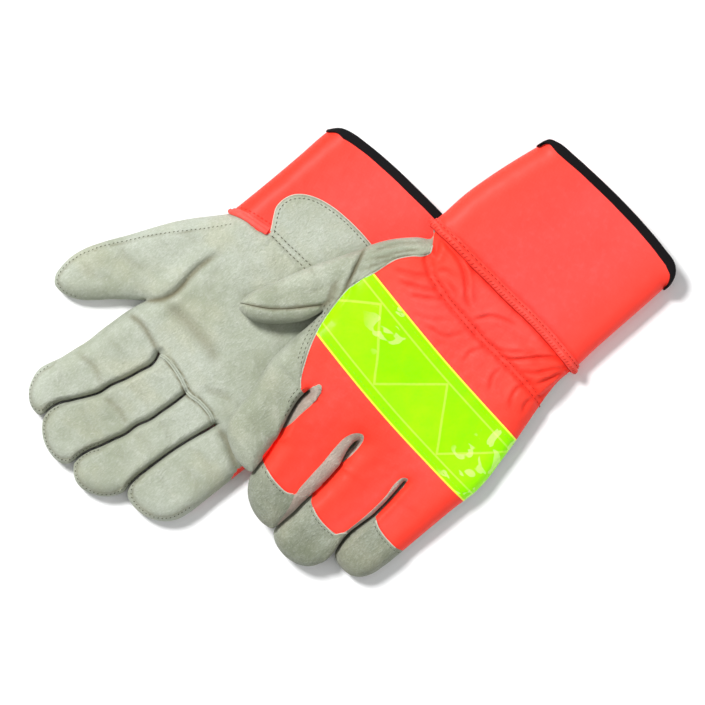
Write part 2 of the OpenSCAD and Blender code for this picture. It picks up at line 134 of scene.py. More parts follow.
def offset_line(line, shift):
    """The line moved sideways, to the left of its own direction."""
    line = smooth(line, 1.0)
    return line + left_normal(line) * shift


def nearest(places, starts, ends, chunk=3000):
    """Distance from places to a chain of segments, and how far along it (0 to 1) they meet it."""
    span = ends - starts
    squared = np.maximum((span * span).sum(1), 1e-12)
    travelled = np.r_[0, np.cumsum(np.sqrt(squared))]
    gap = np.empty(len(places))
    along = np.empty(len(places))
    starts, span32, squared32 = (a.astype(np.float32) for a in (starts, span, squared))
    for i in range(0, len(places), chunk):
        part = places[i:i + chunk].astype(np.float32)
        x = part[:, None, 0] - starts[None, :, 0]
        y = part[:, None, 1] - starts[None, :, 1]
        t = np.clip((x * span32[:, 0] + y * span32[:, 1]) / squared32, 0, 1)
        x -= t * span32[:, 0]
        y -= t * span32[:, 1]
        error = x * x + y * y
        best = error.argmin(1)
        row = np.arange(len(part))
        gap[i:i + chunk] = np.sqrt(error[row, best])
        along[i:i + chunk] = ((travelled[best] + t[row, best] * np.sqrt(squared[best]))
                              / travelled[-1])
    return gap, along


def distance(places, line, closed=False):
    if closed:
        return nearest(places, line, np.roll(line, -1, 0))[0]
    return nearest(places, line[:-1], line[1:])[0]


def inside(places, polygon, chunk=4000):
    ends = np.roll(polygon, -1, 0)
    result = np.zeros(len(places), bool)
    rise = ends[:, 1] - polygon[:, 1]
    rise = np.where(np.abs(rise) < 1e-12, 1e-12, rise)
    for i in range(0, len(places), chunk):
        x = places[i:i + chunk, None, 0]
        y = places[i:i + chunk, None, 1]
        crosses = (polygon[:, 1] > y) != (ends[:, 1] > y)
        cross_x = polygon[:, 0] + (y - polygon[:, 1]) * (ends[:, 0] - polygon[:, 0]) / rise
        result[i:i + chunk] = ((crosses & (x < cross_x)).sum(1) % 2) == 1
    return result


def close_to(places, line, reach):
    """Indices of the places in the line's box grown by reach."""
    low, high = line.min(0) - reach, line.max(0) + reach
    return np.where(((places >= low) & (places <= high)).all(1))[0]


def ease(x, low, high):
    """Smooth step from 0 at low to 1 at high."""
    t = np.clip((x - low) / (high - low), 0, 1)
    return t * t * (3 - 2 * t)


def dome(depth, width):
    """Quarter circle rising from 0 at the edge to 1 at width."""
    x = np.clip(depth / width, 0, 1)
    return np.sqrt(np.clip(1 - (1 - x) ** 2, 0, 1))


NOISE = np.random.RandomState(7).uniform(-1, 1, (16, 256, 256))


def bumps(places, size_x, size_y, seed):
    """Smooth value noise, one bump about every size_x by size_y."""
    cell = np.stack([places[:, 0] / size_x + 31.7 * seed, places[:, 1] / size_y + 17.3 * seed], 1)
    corner = np.floor(cell).astype(int)
    f = cell - corner
    u, v = (f * f * f * (f * (f * 6 - 15) + 10)).T
    table = NOISE[seed % 16]
    x0, y0 = (corner % 256).T
    x1, y1 = (x0 + 1) % 256, (y0 + 1) % 256
    return ((table[x0, y0] * (1 - u) + table[x1, y0] * u) * (1 - v)
            + (table[x0, y1] * (1 - u) + table[x1, y1] * u) * v)


def layered_bumps(places, size, seed, octaves):
    return sum(bumps(places, size / 2**k, size / 2**k, seed + k) / 2**k for k in range(octaves))


# ------------------------------------------------------------------ mesh pieces


def face_normals(verts, faces):
    """Unscaled normals from each face's first three corners."""
    first, second, third = (verts[faces[:, k]] for k in range(3))
    return np.cross(second - first, third - first)


def split(quads):
    return np.vstack([quads[:, [0, 1, 2]], quads[:, [0, 2, 3]]])


def vert_normals(verts, faces):
    triangles = faces if faces.shape[1] == 3 else split(faces)
    total = np.zeros_like(verts)
    each = face_normals(verts, triangles)
    for k in range(3):
        np.add.at(total, triangles[:, k], each)
    return unit(total)


def facing(verts, faces, direction):
    """The faces, reversed when the first one looks away from the direction."""
    if face_normals(verts, faces[:1])[0] @ direction < 0:
        return faces[:, ::-1]
    return faces


def ring_faces(rings, sides, closed=False):
    """Quads between neighbouring rings of points; closed also joins the last ring to the first."""
    i, k = np.meshgrid(np.arange(rings if closed else rings - 1), np.arange(sides), indexing="ij")
    j, m = (i + 1) % rings, (k + 1) % sides
    corners = [i * sides + k, i * sides + m, j * sides + m, j * sides + k]
    return np.stack(corners, -1).reshape(-1, 4)


def fan(sides):
    """Triangles from a ring to the point listed after it."""
    return np.array([(k, (k + 1) % sides, sides) for k in range(sides)])


def skin(rings, closed=False):
    """Points, faces and normals of a tube through rings of points, facing outwards."""
    count, sides = rings.shape[:2]
    verts = rings.reshape(-1, 3)
    faces = ring_faces(count, sides, closed)
    normals = vert_normals(verts, faces)
    if ((verts - rings.mean(1).repeat(sides, 0)) * normals).sum() < 0:
        return verts, faces[:, ::-1], -normals
    return verts, faces, normals


class Piece:
    """One mesh, gathered part by part."""

    def __init__(self, name):
        self.name = name + "_soft"
        self.verts, self.normals, self.data = [], [], []
        self.faces, self.face_materials, self.materials = [], [], []
        self.count = 0

    def add(self, verts, faces, material, normals=None, data=None):
        """data has a row per vertex: the three "strip" values and the amount of painted shade."""
        if material not in self.materials:
            self.materials.append(material)
        self.verts.append(verts)
        self.normals.append(vert_normals(verts, faces) if normals is None else normals)
        self.data.append(np.zeros((len(verts), 4)) if data is None else data)
        self.faces += (faces + self.count).tolist()
        self.face_materials += [self.materials.index(material)] * len(faces)
        self.count += len(verts)

    def build(self, bend=None):
        verts, normals = np.vstack(self.verts), np.vstack(self.normals)
        if bend is not None:
            verts, normals = bend(verts, normals)
        mesh = bpy.data.meshes.new(self.name)
        mesh.from_pydata((verts * MM).tolist(), [], self.faces)
        for material in self.materials:
            mesh.materials.append(MATERIALS[material])
        mesh.polygons.foreach_set("material_index", np.array(self.face_materials, np.int32))
        mesh.polygons.foreach_set("use_smooth", np.ones(len(self.faces), bool))
        mesh.update()
        mesh.normals_split_custom_set_from_vertices(normals.tolist())
        data = np.vstack(self.data).astype(np.float32)
        if np.abs(data[:, :3]).max() > 0:
            strip = mesh.attributes.new("strip", "FLOAT_VECTOR", "POINT")
            strip.data.foreach_set("vector", data[:, :3].ravel())
        # the amount of painted shade goes to a point attribute that the materials darken by
        painted_shade_amount = mesh.attributes.new("cav", "FLOAT", "POINT")
        painted_shade_amount.data.foreach_set("value", data[:, 3])
        ob = bpy.data.objects.new(self.name, mesh)
        bpy.context.scene.collection.objects.link(ob)
        return ob


PIECES = {}


def piece(name):
    if name not in PIECES:
        PIECES[name] = Piece(name)
    return PIECES[name]


def shell(target, verts, faces, normals, outer, inner, thickness, data):
    """A sheet given thickness towards its inside, closed all round."""
    used = np.unique(faces)
    local = -np.ones(len(verts), int)
    local[used] = np.arange(len(used))
    verts, normals, data, faces = verts[used], normals[used], data[used], local[faces]
    back = verts - normals * thickness
    target.add(verts, faces, outer, normals, data)
    target.add(back, faces[:, ::-1], inner, -normals, data)
    edges = np.vstack([faces[:, [0, 1]], faces[:, [1, 2]], faces[:, [2, 0]]])
    ordered = np.sort(edges, 1)
    _, which, count = np.unique(ordered[:, 0] * 1000003 + ordered[:, 1],
                                return_inverse=True, return_counts=True)
    start, end = edges[count[which] == 1].T
    corners = np.stack([verts[end], verts[start], back[start], back[end]], 1)
    across = unit(np.cross(verts[start] - verts[end], back[start] - verts[end]))
    target.add(corners.reshape(-1, 3), np.arange(len(start) * 4).reshape(-1, 4), outer,
               np.repeat(across, 4, 0), np.repeat(data[start], 4, 0))


def tube(target, path, radius, material, sides):
    """Round cord along 3-D points, with blunt pointed ends."""
    along = unit(np.gradient(path, axis=0))
    across = unit(np.cross(along, [0, 0, 1.0]))
    over = np.cross(across, along)
    angle = (np.arange(sides) * 2 * math.pi / sides)[None, :, None]
    normals = unit(np.cos(angle) * across[:, None] + np.sin(angle) * over[:, None])
    rings = path[:, None] + radius * normals
    verts, normals = rings.reshape(-1, 3), normals.reshape(-1, 3)
    faces = facing(verts, ring_faces(len(path), sides), normals[0])
    target.add(verts, faces, material, normals)
    for end, sign in ((0, -1), (-1, 1)):
        tip = path[end] + along[end] * radius * 0.6 * sign
        cap = np.vstack([rings[end], tip[None]])
        target.add(cap, facing(cap, fan(sides), along[end] * sign), material)


# Thread stitch: place along its length (-0.5 to 0.5) and share of its radius
STITCH_PROFILE = [(-0.5, 0.0), (-0.44, 0.62), (-0.2, 1.0), (0.2, 1.0), (0.44, 0.62), (0.5, 0.0)]


def capsules(target, centres, along, length, radius, material, above, arch=1.3):
    """Many short thread stitches whose ends bend down, away from the direction above."""
    sides = 6
    across = unit(np.cross(along, above))
    over = np.cross(across, along)
    verts, normals = [], []
    for place, share in STITCH_PROFILE:
        bend = -arch * radius * (2 * place) ** 2
        for angle in np.arange(sides) * 2 * math.pi / sides:
            out = math.cos(angle) * across + math.sin(angle) * over
            verts.append(centres + along * (place * length) + out * (max(share, 0.02) * radius)
                         + over * bend)
            normals.append(unit(out + along * (place * 1.6 if abs(place) > 0.3 else 0)))
    verts, normals = np.stack(verts, 1), np.stack(normals, 1)
    one = ring_faces(len(STITCH_PROFILE), sides)[:, [0, 3, 2, 1]]
    faces = np.arange(len(centres))[:, None, None] * verts.shape[1] + one[None]
    target.add(verts.reshape(-1, 3), faces.reshape(-1, 4), material, normals.reshape(-1, 3))


# ------------------------------------------------------------------ one glove as two sheets


def blended(base, *zones):
    """Section values (middle height, rise, drop, edge width), mixed into each zone in turn."""
    values = base
    for weight, target in zones:
        values = [a * (1 - weight) + b * weight for a, b in zip(values, target)]
    return values


class Glove:
    """Outline in plan, and its upper and lower surface as functions of the place."""

    SLIT_STEEPNESS = 3.0  # surfaces rise this much faster beside the slits between fingers

    def __init__(self, name, edges, mouth, slits, section, relief, materials):
        self.name, self.section, self.relief = name, section, relief
        self.cuff_material, self.leather, self.tip_leather = materials
        self.edges = [smooth(edge) for edge in edges]
        self.mouth = smooth(mouth)
        kept = []
        for line in self.edges + [self.mouth]:
            for place in line:
                if not kept or np.linalg.norm(place - kept[-1]) > 0.15:
                    kept.append(place)
        if np.linalg.norm(kept[0] - kept[-1]) < 0.15:
            kept.pop()
        self.outline = np.array(kept)
        border = np.vstack(self.edges)
        starts, ends = border[:-1], border[1:]
        middles = (starts + ends) / 2
        slit = np.min([distance(middles, smooth(line)) for line in slits], 0) < 2.4
        self.slit = starts[slit], ends[slit]
        self.border = starts[~slit], ends[~slit]
        self.folds, self.crease_shades = [], []
        self.cloth = None

    def fold(self, line, rise, width, taper=True):
        """A ridge on the upper side, or a groove where rise is negative."""
        self.folds.append((smooth(line, 1.5), rise, width, taper))

    def crease_shade(self, line, width, strength):
        """A line of painted shade on the upper side."""
        self.crease_shades.append((smooth(line, 1.2), width, strength))

    def slit_distance(self, places):
        return nearest(places, *self.slit)[0]

    def depth(self, places):
        """Distance in from the outline."""
        return np.minimum(nearest(places, *self.border)[0],
                          self.slit_distance(places) * self.SLIT_STEEPNESS)

    def painted_shade_amount(self, places, top):
        """How much shade is painted on each place (0 to 1): beside slits, along crease lines and in
        grooves.
        """
        gap = self.slit_distance(places)
        # painted shade in and beside the slits between the fingers
        dark = 0.13 * np.exp(-(gap / 0.6) ** 2) + 0.12 * np.exp(-(gap / 3.0) ** 2)
        if not top:
            return dark
        marks = list(self.crease_shades)
        for line, rise, width, _ in self.folds:
            if rise < 0:
                strength = (min(1.0, -rise / 1.7) * (0.9 if width < 2.5 else 0.5)
                            * (0.35 if -rise < 0.75 else 1.0))
                marks.append((line, width * 0.8, strength))
        for line, width, strength in marks:
            i = close_to(places, line, 3 * width)
            gap, along = nearest(places[i], line[:-1], line[1:])
            ends = np.clip(np.sin(along * math.pi) * 2.2, 0.25, 1)
            dark[i] = 1 - (1 - dark[i]) * (1 - strength * ends * np.exp(-(gap / width) ** 2))
        return dark

    def z(self, places, top=True, depth=None):
        if depth is None:
            depth = self.depth(places)
        middle, rise, drop, width = self.section(places)
        profile = dome(depth, width)
        height = np.zeros(len(places))
        for line, amount, spread, taper in self.folds if top else ():
            i = close_to(places, line, 3.2 * spread)
            gap, along = nearest(places[i], line[:-1], line[1:])
            ends = np.clip(np.sin(along * math.pi), 0, 1) ** 0.6 if taper else 1.0
            height[i] += amount * ends * np.exp(-(gap / spread) ** 2)
        height += self.relief(places, depth, top)
        if top and self.cloth:
            height += self.cloth(places)
        height *= ease(depth, 0.0, 2.2)
        return middle + rise * profile + height if top else middle - drop * profile - height

    def surface(self, places, lift=0.0, top=True):
        """3-D points over places in plan."""
        return np.column_stack([places, self.z(places, top) + lift])

    def normal(self, places, top, step=0.35):
        slopes = [(self.z(places + move, top) - self.z(places - move, top)) / (2 * step)
                  for move in (np.array([step, 0]), np.array([0, step]))]
        normal = np.stack([-slopes[0], -slopes[1], np.ones(len(places))], 1)
        return unit(normal if top else -normal)

    def sheet(self, seams, spacing, top):
        """Triangulated sheet, its edges along the outline and along every seam given."""
        outline = self.outline
        # the outline runs clockwise, so inwards is to its right
        along = unit(np.roll(outline, -1, 0) - np.roll(outline, 1, 0))
        inwards = np.stack([along[:, 1], -along[:, 0]], 1)
        fill = []
        for inset in (0.3, 0.85, 1.75, 2.9):
            ring = outline + inwards * inset
            ring = ring[inside(ring, outline)]
            fill.append(ring[distance(ring, outline, True) > inset * 0.93])
        low, high = outline.min(0), outline.max(0)
        rows = np.arange(low[1], high[1], spacing * 0.866)
        x, y = np.meshgrid(np.arange(low[0], high[0], spacing), rows)
        x = x + (np.arange(len(rows)) % 2)[:, None] * spacing / 2
        grid = np.stack([x.ravel(), y.ravel()], 1)
        grid = grid[inside(grid, outline)]
        fill.append(grid[distance(grid, outline, True) > 2.9 + 0.45 * spacing])
        fill = np.vstack(fill)
        starts = np.vstack([seam[:-1] for seam in seams])
        ends = np.vstack([seam[1:] for seam in seams])
        beside = [fill[nearest(fill, starts, ends)[0] > 1.0]]
        for seam in seams:
            normal = left_normal(seam)
            for shift in (0.45, -0.45):
                row = seam[1:-1] + normal[1:-1] * shift
                row = row[inside(row, outline)]
                row = row[distance(row, outline, True) > 0.35]
                beside.append(row[nearest(row, starts, ends)[0] > 0.38])
        count = len(outline)
        edges = [(i, (i + 1) % count) for i in range(count)]
        for seam in seams:
            edges += [(i, i + 1) for i in range(count, count + len(seam) - 1)]
            count += len(seam)
        seeds = [Vector(place) for place in np.vstack([outline] + seams + beside)]
        result = delaunay_2d_cdt(seeds, edges, [], 0, 1e-5, False)
        places = np.array([(v[0], v[1]) for v in result[0]])
        faces = np.array([face for face in result[2] if len(face) == 3], int)
        faces = faces[inside(places[faces].mean(1), outline)]
        a, b, c = (places[faces[:, k]] for k in range(3))
        area = (b[:, 0] - a[:, 0]) * (c[:, 1] - a[:, 1]) - (b[:, 1] - a[:, 1]) * (c[:, 0] - a[:, 0])
        faces, area = faces[np.abs(area) > 1e-5], area[np.abs(area) > 1e-5]
        faces[area < 0] = faces[area < 0][:, ::-1]
        on_outline = distance(places, outline, True) < 1e-3
        at_mouth = distance(places, self.mouth) <= 1e-3
        depth = np.where(on_outline & ~at_mouth, 0.0, self.depth(places))
        verts = np.column_stack([places, self.z(places, top, depth)])
        return verts, faces if top else faces[:, ::-1], depth


def joined_normals(top, bottom):
    """Normals of the two sheets as if joined along the outline."""
    count = len(top[0])
    verts = np.vstack([top[0], bottom[0]])
    faces = np.vstack([top[1], bottom[1] + count])
    _, which = np.unique(np.round(verts * 500).astype(np.int64), axis=0, return_inverse=True)
    which = which.ravel()
    each = face_normals(verts, faces)
    total = np.zeros((which.max() + 1, 3))
    for k in range(3):
        np.add.at(total, which[faces[:, k]], each)
    normals = unit(total)[which]
    return normals[:count], normals[count:]


# ------------------------------------------------------------------ materials

MATERIALS = {}


def rgb(*values):
    """Linear colour from sRGB values of 0 to 255."""
    linear = []
    for value in values:
        value = value / 255
        linear.append(value / 12.92 if value <= 0.04045 else ((value + 0.055) / 1.055) ** 2.4)
    return (*linear, 1.0)


class Shader:
    """A material with a Principled surface, and short ways to add nodes."""

    def __init__(self, name):
        material = bpy.data.materials.new(name)
        material.use_nodes = True
        self.tree = material.node_tree
        self.tree.nodes.clear()
        output = self.node("ShaderNodeOutputMaterial")
        self.principled = self.node("ShaderNodeBsdfPrincipled")
        self.feed(output.inputs[0], self.principled.outputs[0])
        self.place = self.node("ShaderNodeTexCoord").outputs["Object"]
        self.bumped = None
        MATERIALS[name] = material

    def feed(self, socket, value):
        if isinstance(value, bpy.types.NodeSocket):
            self.tree.links.new(value, socket)
        else:
            socket.default_value = value

    def node(self, kind, inputs=None, **settings):
        node = self.tree.nodes.new(kind)
        for key, value in settings.items():
            setattr(node, key, value)
        for socket, value in (inputs or {}).items():
            self.feed(node.inputs[socket], value)
        return node

    def set(self, **inputs):
        for name, value in inputs.items():
            self.feed(self.principled.inputs[name.replace("_", " ")], value)

    def mapped(self, scale=(1.0, 1.0, 1.0), turn=0.0):
        inputs = {"Scale": scale, "Rotation": (0, 0, turn), "Vector": self.place}
        return self.node("ShaderNodeMapping", inputs).outputs[0]

    def noise(self, scale, detail, rough, place=None, distortion=0.0):
        inputs = {"Scale": scale, "Detail": detail, "Roughness": rough,
                  "Distortion": distortion, "Vector": place or self.place}
        return self.node("ShaderNodeTexNoise", inputs).outputs[0]

    def cells(self, scale, place):
        inputs = {"Scale": scale, "Vector": place}
        return self.node("ShaderNodeTexVoronoi", inputs, feature="F1").outputs["Distance"]

    def bands(self, scale, direction, turn):
        inputs = {"Scale": scale, "Distortion": 0.0, "Vector": self.mapped(turn=turn)}
        return self.node("ShaderNodeTexWave", inputs, wave_type="BANDS", wave_profile="SIN",
                         bands_direction=direction).outputs[1]

    def attribute(self, name, output):
        return self.node("ShaderNodeAttribute", attribute_name=name).outputs[output]

    def strip(self):
        """The three values of the "strip" attribute."""
        inputs = {0: self.attribute("strip", "Vector")}
        return self.node("ShaderNodeSeparateXYZ", inputs).outputs

    def math(self, operation, *values):
        return self.node("ShaderNodeMath", dict(enumerate(values)), operation=operation).outputs[0]

    def ramp(self, value, low, high, to_low=0.0, to_high=1.0):
        inputs = dict(enumerate((value, low, high, to_low, to_high)))
        return self.node("ShaderNodeMapRange", inputs,
                         interpolation_type="SMOOTHSTEP").outputs[0]

    def mix(self, factor, first, second):
        inputs = {0: factor, 6: first, 7: second}
        return self.node("ShaderNodeMix", inputs, data_type="RGBA", blend_type="MIX").outputs[2]

    def tint(self, colour, other, mask, amount):
        """The colour moved towards another, by up to amount where mask is 1."""
        return self.mix(self.math("MULTIPLY", mask, amount), colour, other)

    def bump(self, height, distance, strength):
        inputs = {"Strength": strength, "Distance": distance, "Height": height}
        if self.bumped is not None:
            inputs["Normal"] = self.bumped
        self.bumped = self.node("ShaderNodeBump", inputs).outputs[0]
        self.set(Normal=self.bumped)


def leather(name, base, dark, light, grain=1.0, warm=None, sheen=0.12,
            crease_shade=rgb(112, 106, 80)):
    """Napped leather: broad blotches, a brushed nap and fine grain, with shade painted darker into
    the creases.
    """
    s = Shader(name)
    painted_shade_amount = s.attribute("cav", "Fac")
    blotch = s.noise(scale=20.0, detail=4.0, rough=0.55)
    mottle = s.noise(scale=120.0, detail=5.0, rough=0.65)
    nap = s.noise(scale=1250.0, detail=3.0, rough=0.7, distortion=0.5,
                  place=s.mapped(scale=(1.0, 0.36, 1.0), turn=0.35))
    fine = s.noise(scale=2100.0, detail=2.0, rough=0.7)
    colour = s.mix(s.ramp(blotch, low=0.36, high=0.66), dark, base)
    colour = s.tint(colour, light, s.ramp(mottle, low=0.40, high=0.75), amount=0.30)
    if warm:
        patch = s.noise(scale=30.0, detail=3.0, rough=0.5,
                        place=s.mapped(scale=(1.0, 1.3, 1.0), turn=0.6))
        colour = s.tint(colour, warm, s.ramp(patch, low=0.48, high=0.72), amount=0.5)
    colour = s.tint(colour, dark, s.ramp(nap, low=0.58, high=0.36), amount=0.44)
    colour = s.tint(colour, light, s.ramp(nap, low=0.50, high=0.72), amount=0.34)
    colour = s.tint(colour, dark, s.ramp(fine, low=0.58, high=0.34), amount=0.26)
    # painted shade: darker where the attribute marks slits, creases and grooves
    colour = s.tint(colour, crease_shade, painted_shade_amount, amount=0.86)
    s.set(Base_Color=colour, Roughness=0.85, Sheen_Weight=sheen, Sheen_Roughness=0.5,
          Specular_IOR_Level=0.22)
    s.bump(mottle, distance=0.0016 * grain, strength=0.55)
    s.bump(nap, distance=0.00060 * grain, strength=0.9)
    s.bump(fine, distance=0.00020 * grain, strength=0.6)


def cloth(name, base, dark, light, rough, sheen, pitch, glow=0.0, bump=1.0, coat=0.0,
          crease_shade=None, edge=None):
    """Woven cloth, pitch in millimetres; the edge colour paints shade along its border, leaving the
    middle lighter as if lit, and the crease colour paints shade in its folds.
    """
    s = Shader(name)
    blotch = s.noise(scale=14.0, detail=3.0, rough=0.5)
    mottle = s.noise(scale=260.0, detail=4.0, rough=0.6)
    scale = 1000.0 / pitch / 6.2832 * 2.0
    weave = s.math("MULTIPLY", s.bands(scale, "X", turn=0.5), s.bands(scale, "Y", turn=0.5))
    colour = s.mix(s.ramp(blotch, low=0.30, high=0.72), dark, base)
    colour = s.tint(colour, light, s.ramp(mottle, low=0.45, high=0.75), amount=0.25)
    colour = s.tint(colour, light, weave, amount=0.16)
    if crease_shade:
        painted_shade_amount = s.attribute("cav", "Fac")
        # painted light: the border takes the darker edge colour as shade, the middle keeps the
        # lighter colour as if lit
        inwards = s.strip()[0]
        colour = s.mix(inwards, s.tint(edge, light, weave, amount=0.12), colour)
        colour = s.tint(colour, crease_shade, painted_shade_amount, amount=0.72)
    s.set(Base_Color=colour, Roughness=rough, Sheen_Weight=sheen, Sheen_Roughness=0.4,
          Specular_IOR_Level=0.22, Coat_Weight=coat, Coat_Roughness=0.35)
    # painted glow: a red emission keeps the cloth bright where it is in shade
    if glow:
        s.set(Emission_Color=rgb(255, 26, 6), Emission_Strength=glow)
    s.bump(mottle, distance=0.0004 * bump, strength=0.4)
    s.bump(weave, distance=0.00016 * bump, strength=0.6)


def thread(name, base, dark, light, rough=0.7, sheen=0.1):
    cloth(name, base, dark, light, rough=rough, sheen=sheen, pitch=0.5, bump=0.3)


def tape():
    """Lime reflective tape: a zigzag between two rails, fine cells, and glints painted on as pale
    glare patches.

    The strip attribute gives the place along the tape and across it (-1 to 1)."""
    s = Shader("tape")
    along, across = s.strip()[:2]
    wave = s.math("MULTIPLY_ADD", s.math("PINGPONG", along, 0.5), 4.0, -1.0)
    gap = s.math("SUBTRACT", across, s.math("MULTIPLY", wave, 0.66))
    zigzag = s.ramp(s.math("ABSOLUTE", gap), low=0.056, high=0.026)
    outwards = s.math("ABSOLUTE", across)
    off_rail = s.math("ABSOLUTE", s.math("SUBTRACT", outwards, 0.71))
    pale = s.math("MAXIMUM", zigzag, s.ramp(off_rail, low=0.030, high=0.014))
    one_side = s.ramp(gap, low=-0.02, high=0.02)
    between = s.ramp(outwards, low=0.69, high=0.66)
    edge = s.ramp(outwards, low=0.945, high=0.965)
    cell = s.cells(scale=420.0, place=s.mapped(scale=(1.0, 1.0, 0.2), turn=0.78))
    glint = s.noise(scale=60.0, detail=3.0, rough=0.6)
    glare = s.noise(scale=38.0, detail=2.0, rough=0.55, distortion=1.6,
                    place=s.mapped(scale=(1.0, 1.25, 1.0), turn=0.9))
    glare = s.math("MULTIPLY", s.ramp(glare, low=0.570, high=0.590),
                   s.ramp(s.noise(scale=13.0, detail=1.0, rough=0.4), low=0.46, high=0.54))
    colour = s.mix(s.ramp(glint, low=0.35, high=0.7), rgb(146, 244, 0), rgb(156, 250, 0))
    colour = s.tint(colour, rgb(190, 255, 30), s.math("MULTIPLY", one_side, between), amount=0.16)
    colour = s.tint(colour, rgb(206, 255, 90), pale, amount=0.55)
    # painted highlight: pale patches of glare
    colour = s.tint(colour, rgb(222, 255, 150), glare, amount=0.50)
    colour = s.mix(edge, colour, rgb(232, 252, 70))
    colour = s.tint(colour, rgb(120, 220, 0), s.ramp(cell, low=0.5, high=0.1), amount=0.12)
    # painted glow: the tape emits its own colour
    s.set(Base_Color=colour, Emission_Color=colour, Emission_Strength=0.16,
          Specular_IOR_Level=0.06, Coat_Weight=0.02, Coat_Roughness=0.4,
          Roughness=s.ramp(glint, low=0.3, high=0.7, to_low=0.28, to_high=0.42))
    s.bump(s.noise(scale=55.0, detail=3.0, rough=0.55), distance=0.0012, strength=0.30)
    s.bump(cell, distance=0.00020, strength=0.35)


# base, dark and light colour of each
leather("palm_leather", rgb(183, 189, 175), rgb(158, 164, 143), rgb(209, 212, 203),
        warm=rgb(184, 184, 157))
leather("pale_suede", rgb(186, 192, 174), rgb(150, 156, 134), rgb(214, 217, 205),
        grain=1.3, warm=rgb(188, 188, 166), sheen=0.2)
leather("suede", rgb(166, 171, 155), rgb(128, 134, 112), rgb(202, 206, 193),
        grain=1.5, warm=rgb(172, 170, 148), sheen=0.2)
leather("strip_leather", rgb(202, 186, 172), rgb(168, 152, 138), rgb(228, 214, 202),
        grain=1.5, sheen=0.2, crease_shade=rgb(92, 76, 60))
leather("leather_edge", rgb(208, 210, 194), rgb(190, 192, 174), rgb(224, 225, 212), grain=0.8)
leather("leather_inside", rgb(176, 168, 152), rgb(156, 148, 132), rgb(190, 182, 166), grain=0.6)
# glow paints a red glow by emission; the crease colour is the painted shade in the folds
ORANGE_CLOTH = dict(glow=0.10, pitch=0.8, sheen=0.03, crease_shade=rgb(226, 40, 22))
ORANGE_CUFF = dict(rough=0.5, bump=0.8, coat=0.06, **ORANGE_CLOTH)
cloth("orange", rgb(250, 82, 74), rgb(251, 74, 60), rgb(252, 102, 97),
      rough=0.6, coat=0.04, edge=rgb(252, 62, 42), **ORANGE_CLOTH)
cloth("orange_cuff", rgb(250, 82, 77), rgb(250, 75, 66), rgb(252, 98, 95),
      edge=rgb(252, 64, 48), **ORANGE_CUFF)
# a darker copy of the cuff cloth, as painted shade on the right cuff
cloth("orange_cuff_right", rgb(250, 72, 64), rgb(250, 64, 52), rgb(252, 88, 82),
      edge=rgb(252, 55, 36), **ORANGE_CUFF)
thread("seam_shadow", rgb(206, 40, 26), rgb(190, 32, 20), rgb(216, 50, 36), rough=0.8, sheen=0.0)
# a lighter copy of the orange cloth: painted light on the raised hem fold, with a painted glow
cloth("orange_hem", rgb(251, 88, 78), rgb(246, 66, 50), rgb(254, 120, 112),
      glow=0.08, pitch=0.8, rough=0.6, sheen=0.05)
cloth("cuff_inside", rgb(232, 226, 210), rgb(214, 206, 188), rgb(242, 238, 226),
      pitch=1.0, rough=0.9, sheen=0.1)
cloth("lining", rgb(228, 224, 214), rgb(206, 200, 190), rgb(240, 237, 230),
      pitch=0.9, rough=0.95, sheen=0.3, bump=1.3)
cloth("elastic", rgb(220, 216, 206), rgb(198, 192, 182), rgb(235, 232, 224),
      pitch=1.6, rough=0.8, sheen=0.1, bump=1.2)
cloth("black_binding", rgb(10, 6, 9), rgb(5, 3, 5), rgb(20, 14, 18),
      pitch=0.9, rough=0.8, sheen=0.02, bump=1.4)
# thread_pale and thread_seam are spare shades
thread("thread_pale", rgb(150, 152, 132), rgb(126, 128, 110), rgb(172, 174, 156))
thread("thread_seam", rgb(150, 150, 126), rgb(128, 128, 106), rgb(166, 166, 144))
thread("thread_dark", rgb(84, 84, 66), rgb(66, 66, 50), rgb(108, 108, 88))
thread("thread_orange", rgb(214, 44, 28), rgb(194, 32, 20), rgb(232, 64, 46),
       rough=0.6, sheen=0.05)
thread("thread_lime", rgb(170, 220, 10), rgb(140, 200, 0), rgb(214, 244, 80), rough=0.5)
tape()
# painted shade: a dark material for the closed end of the lining, deep inside the glove
Shader("dark_hole").set(Base_Color=rgb(40, 34, 30), Roughness=1.0)

# ------------------------------------------------------------------ right glove: outline

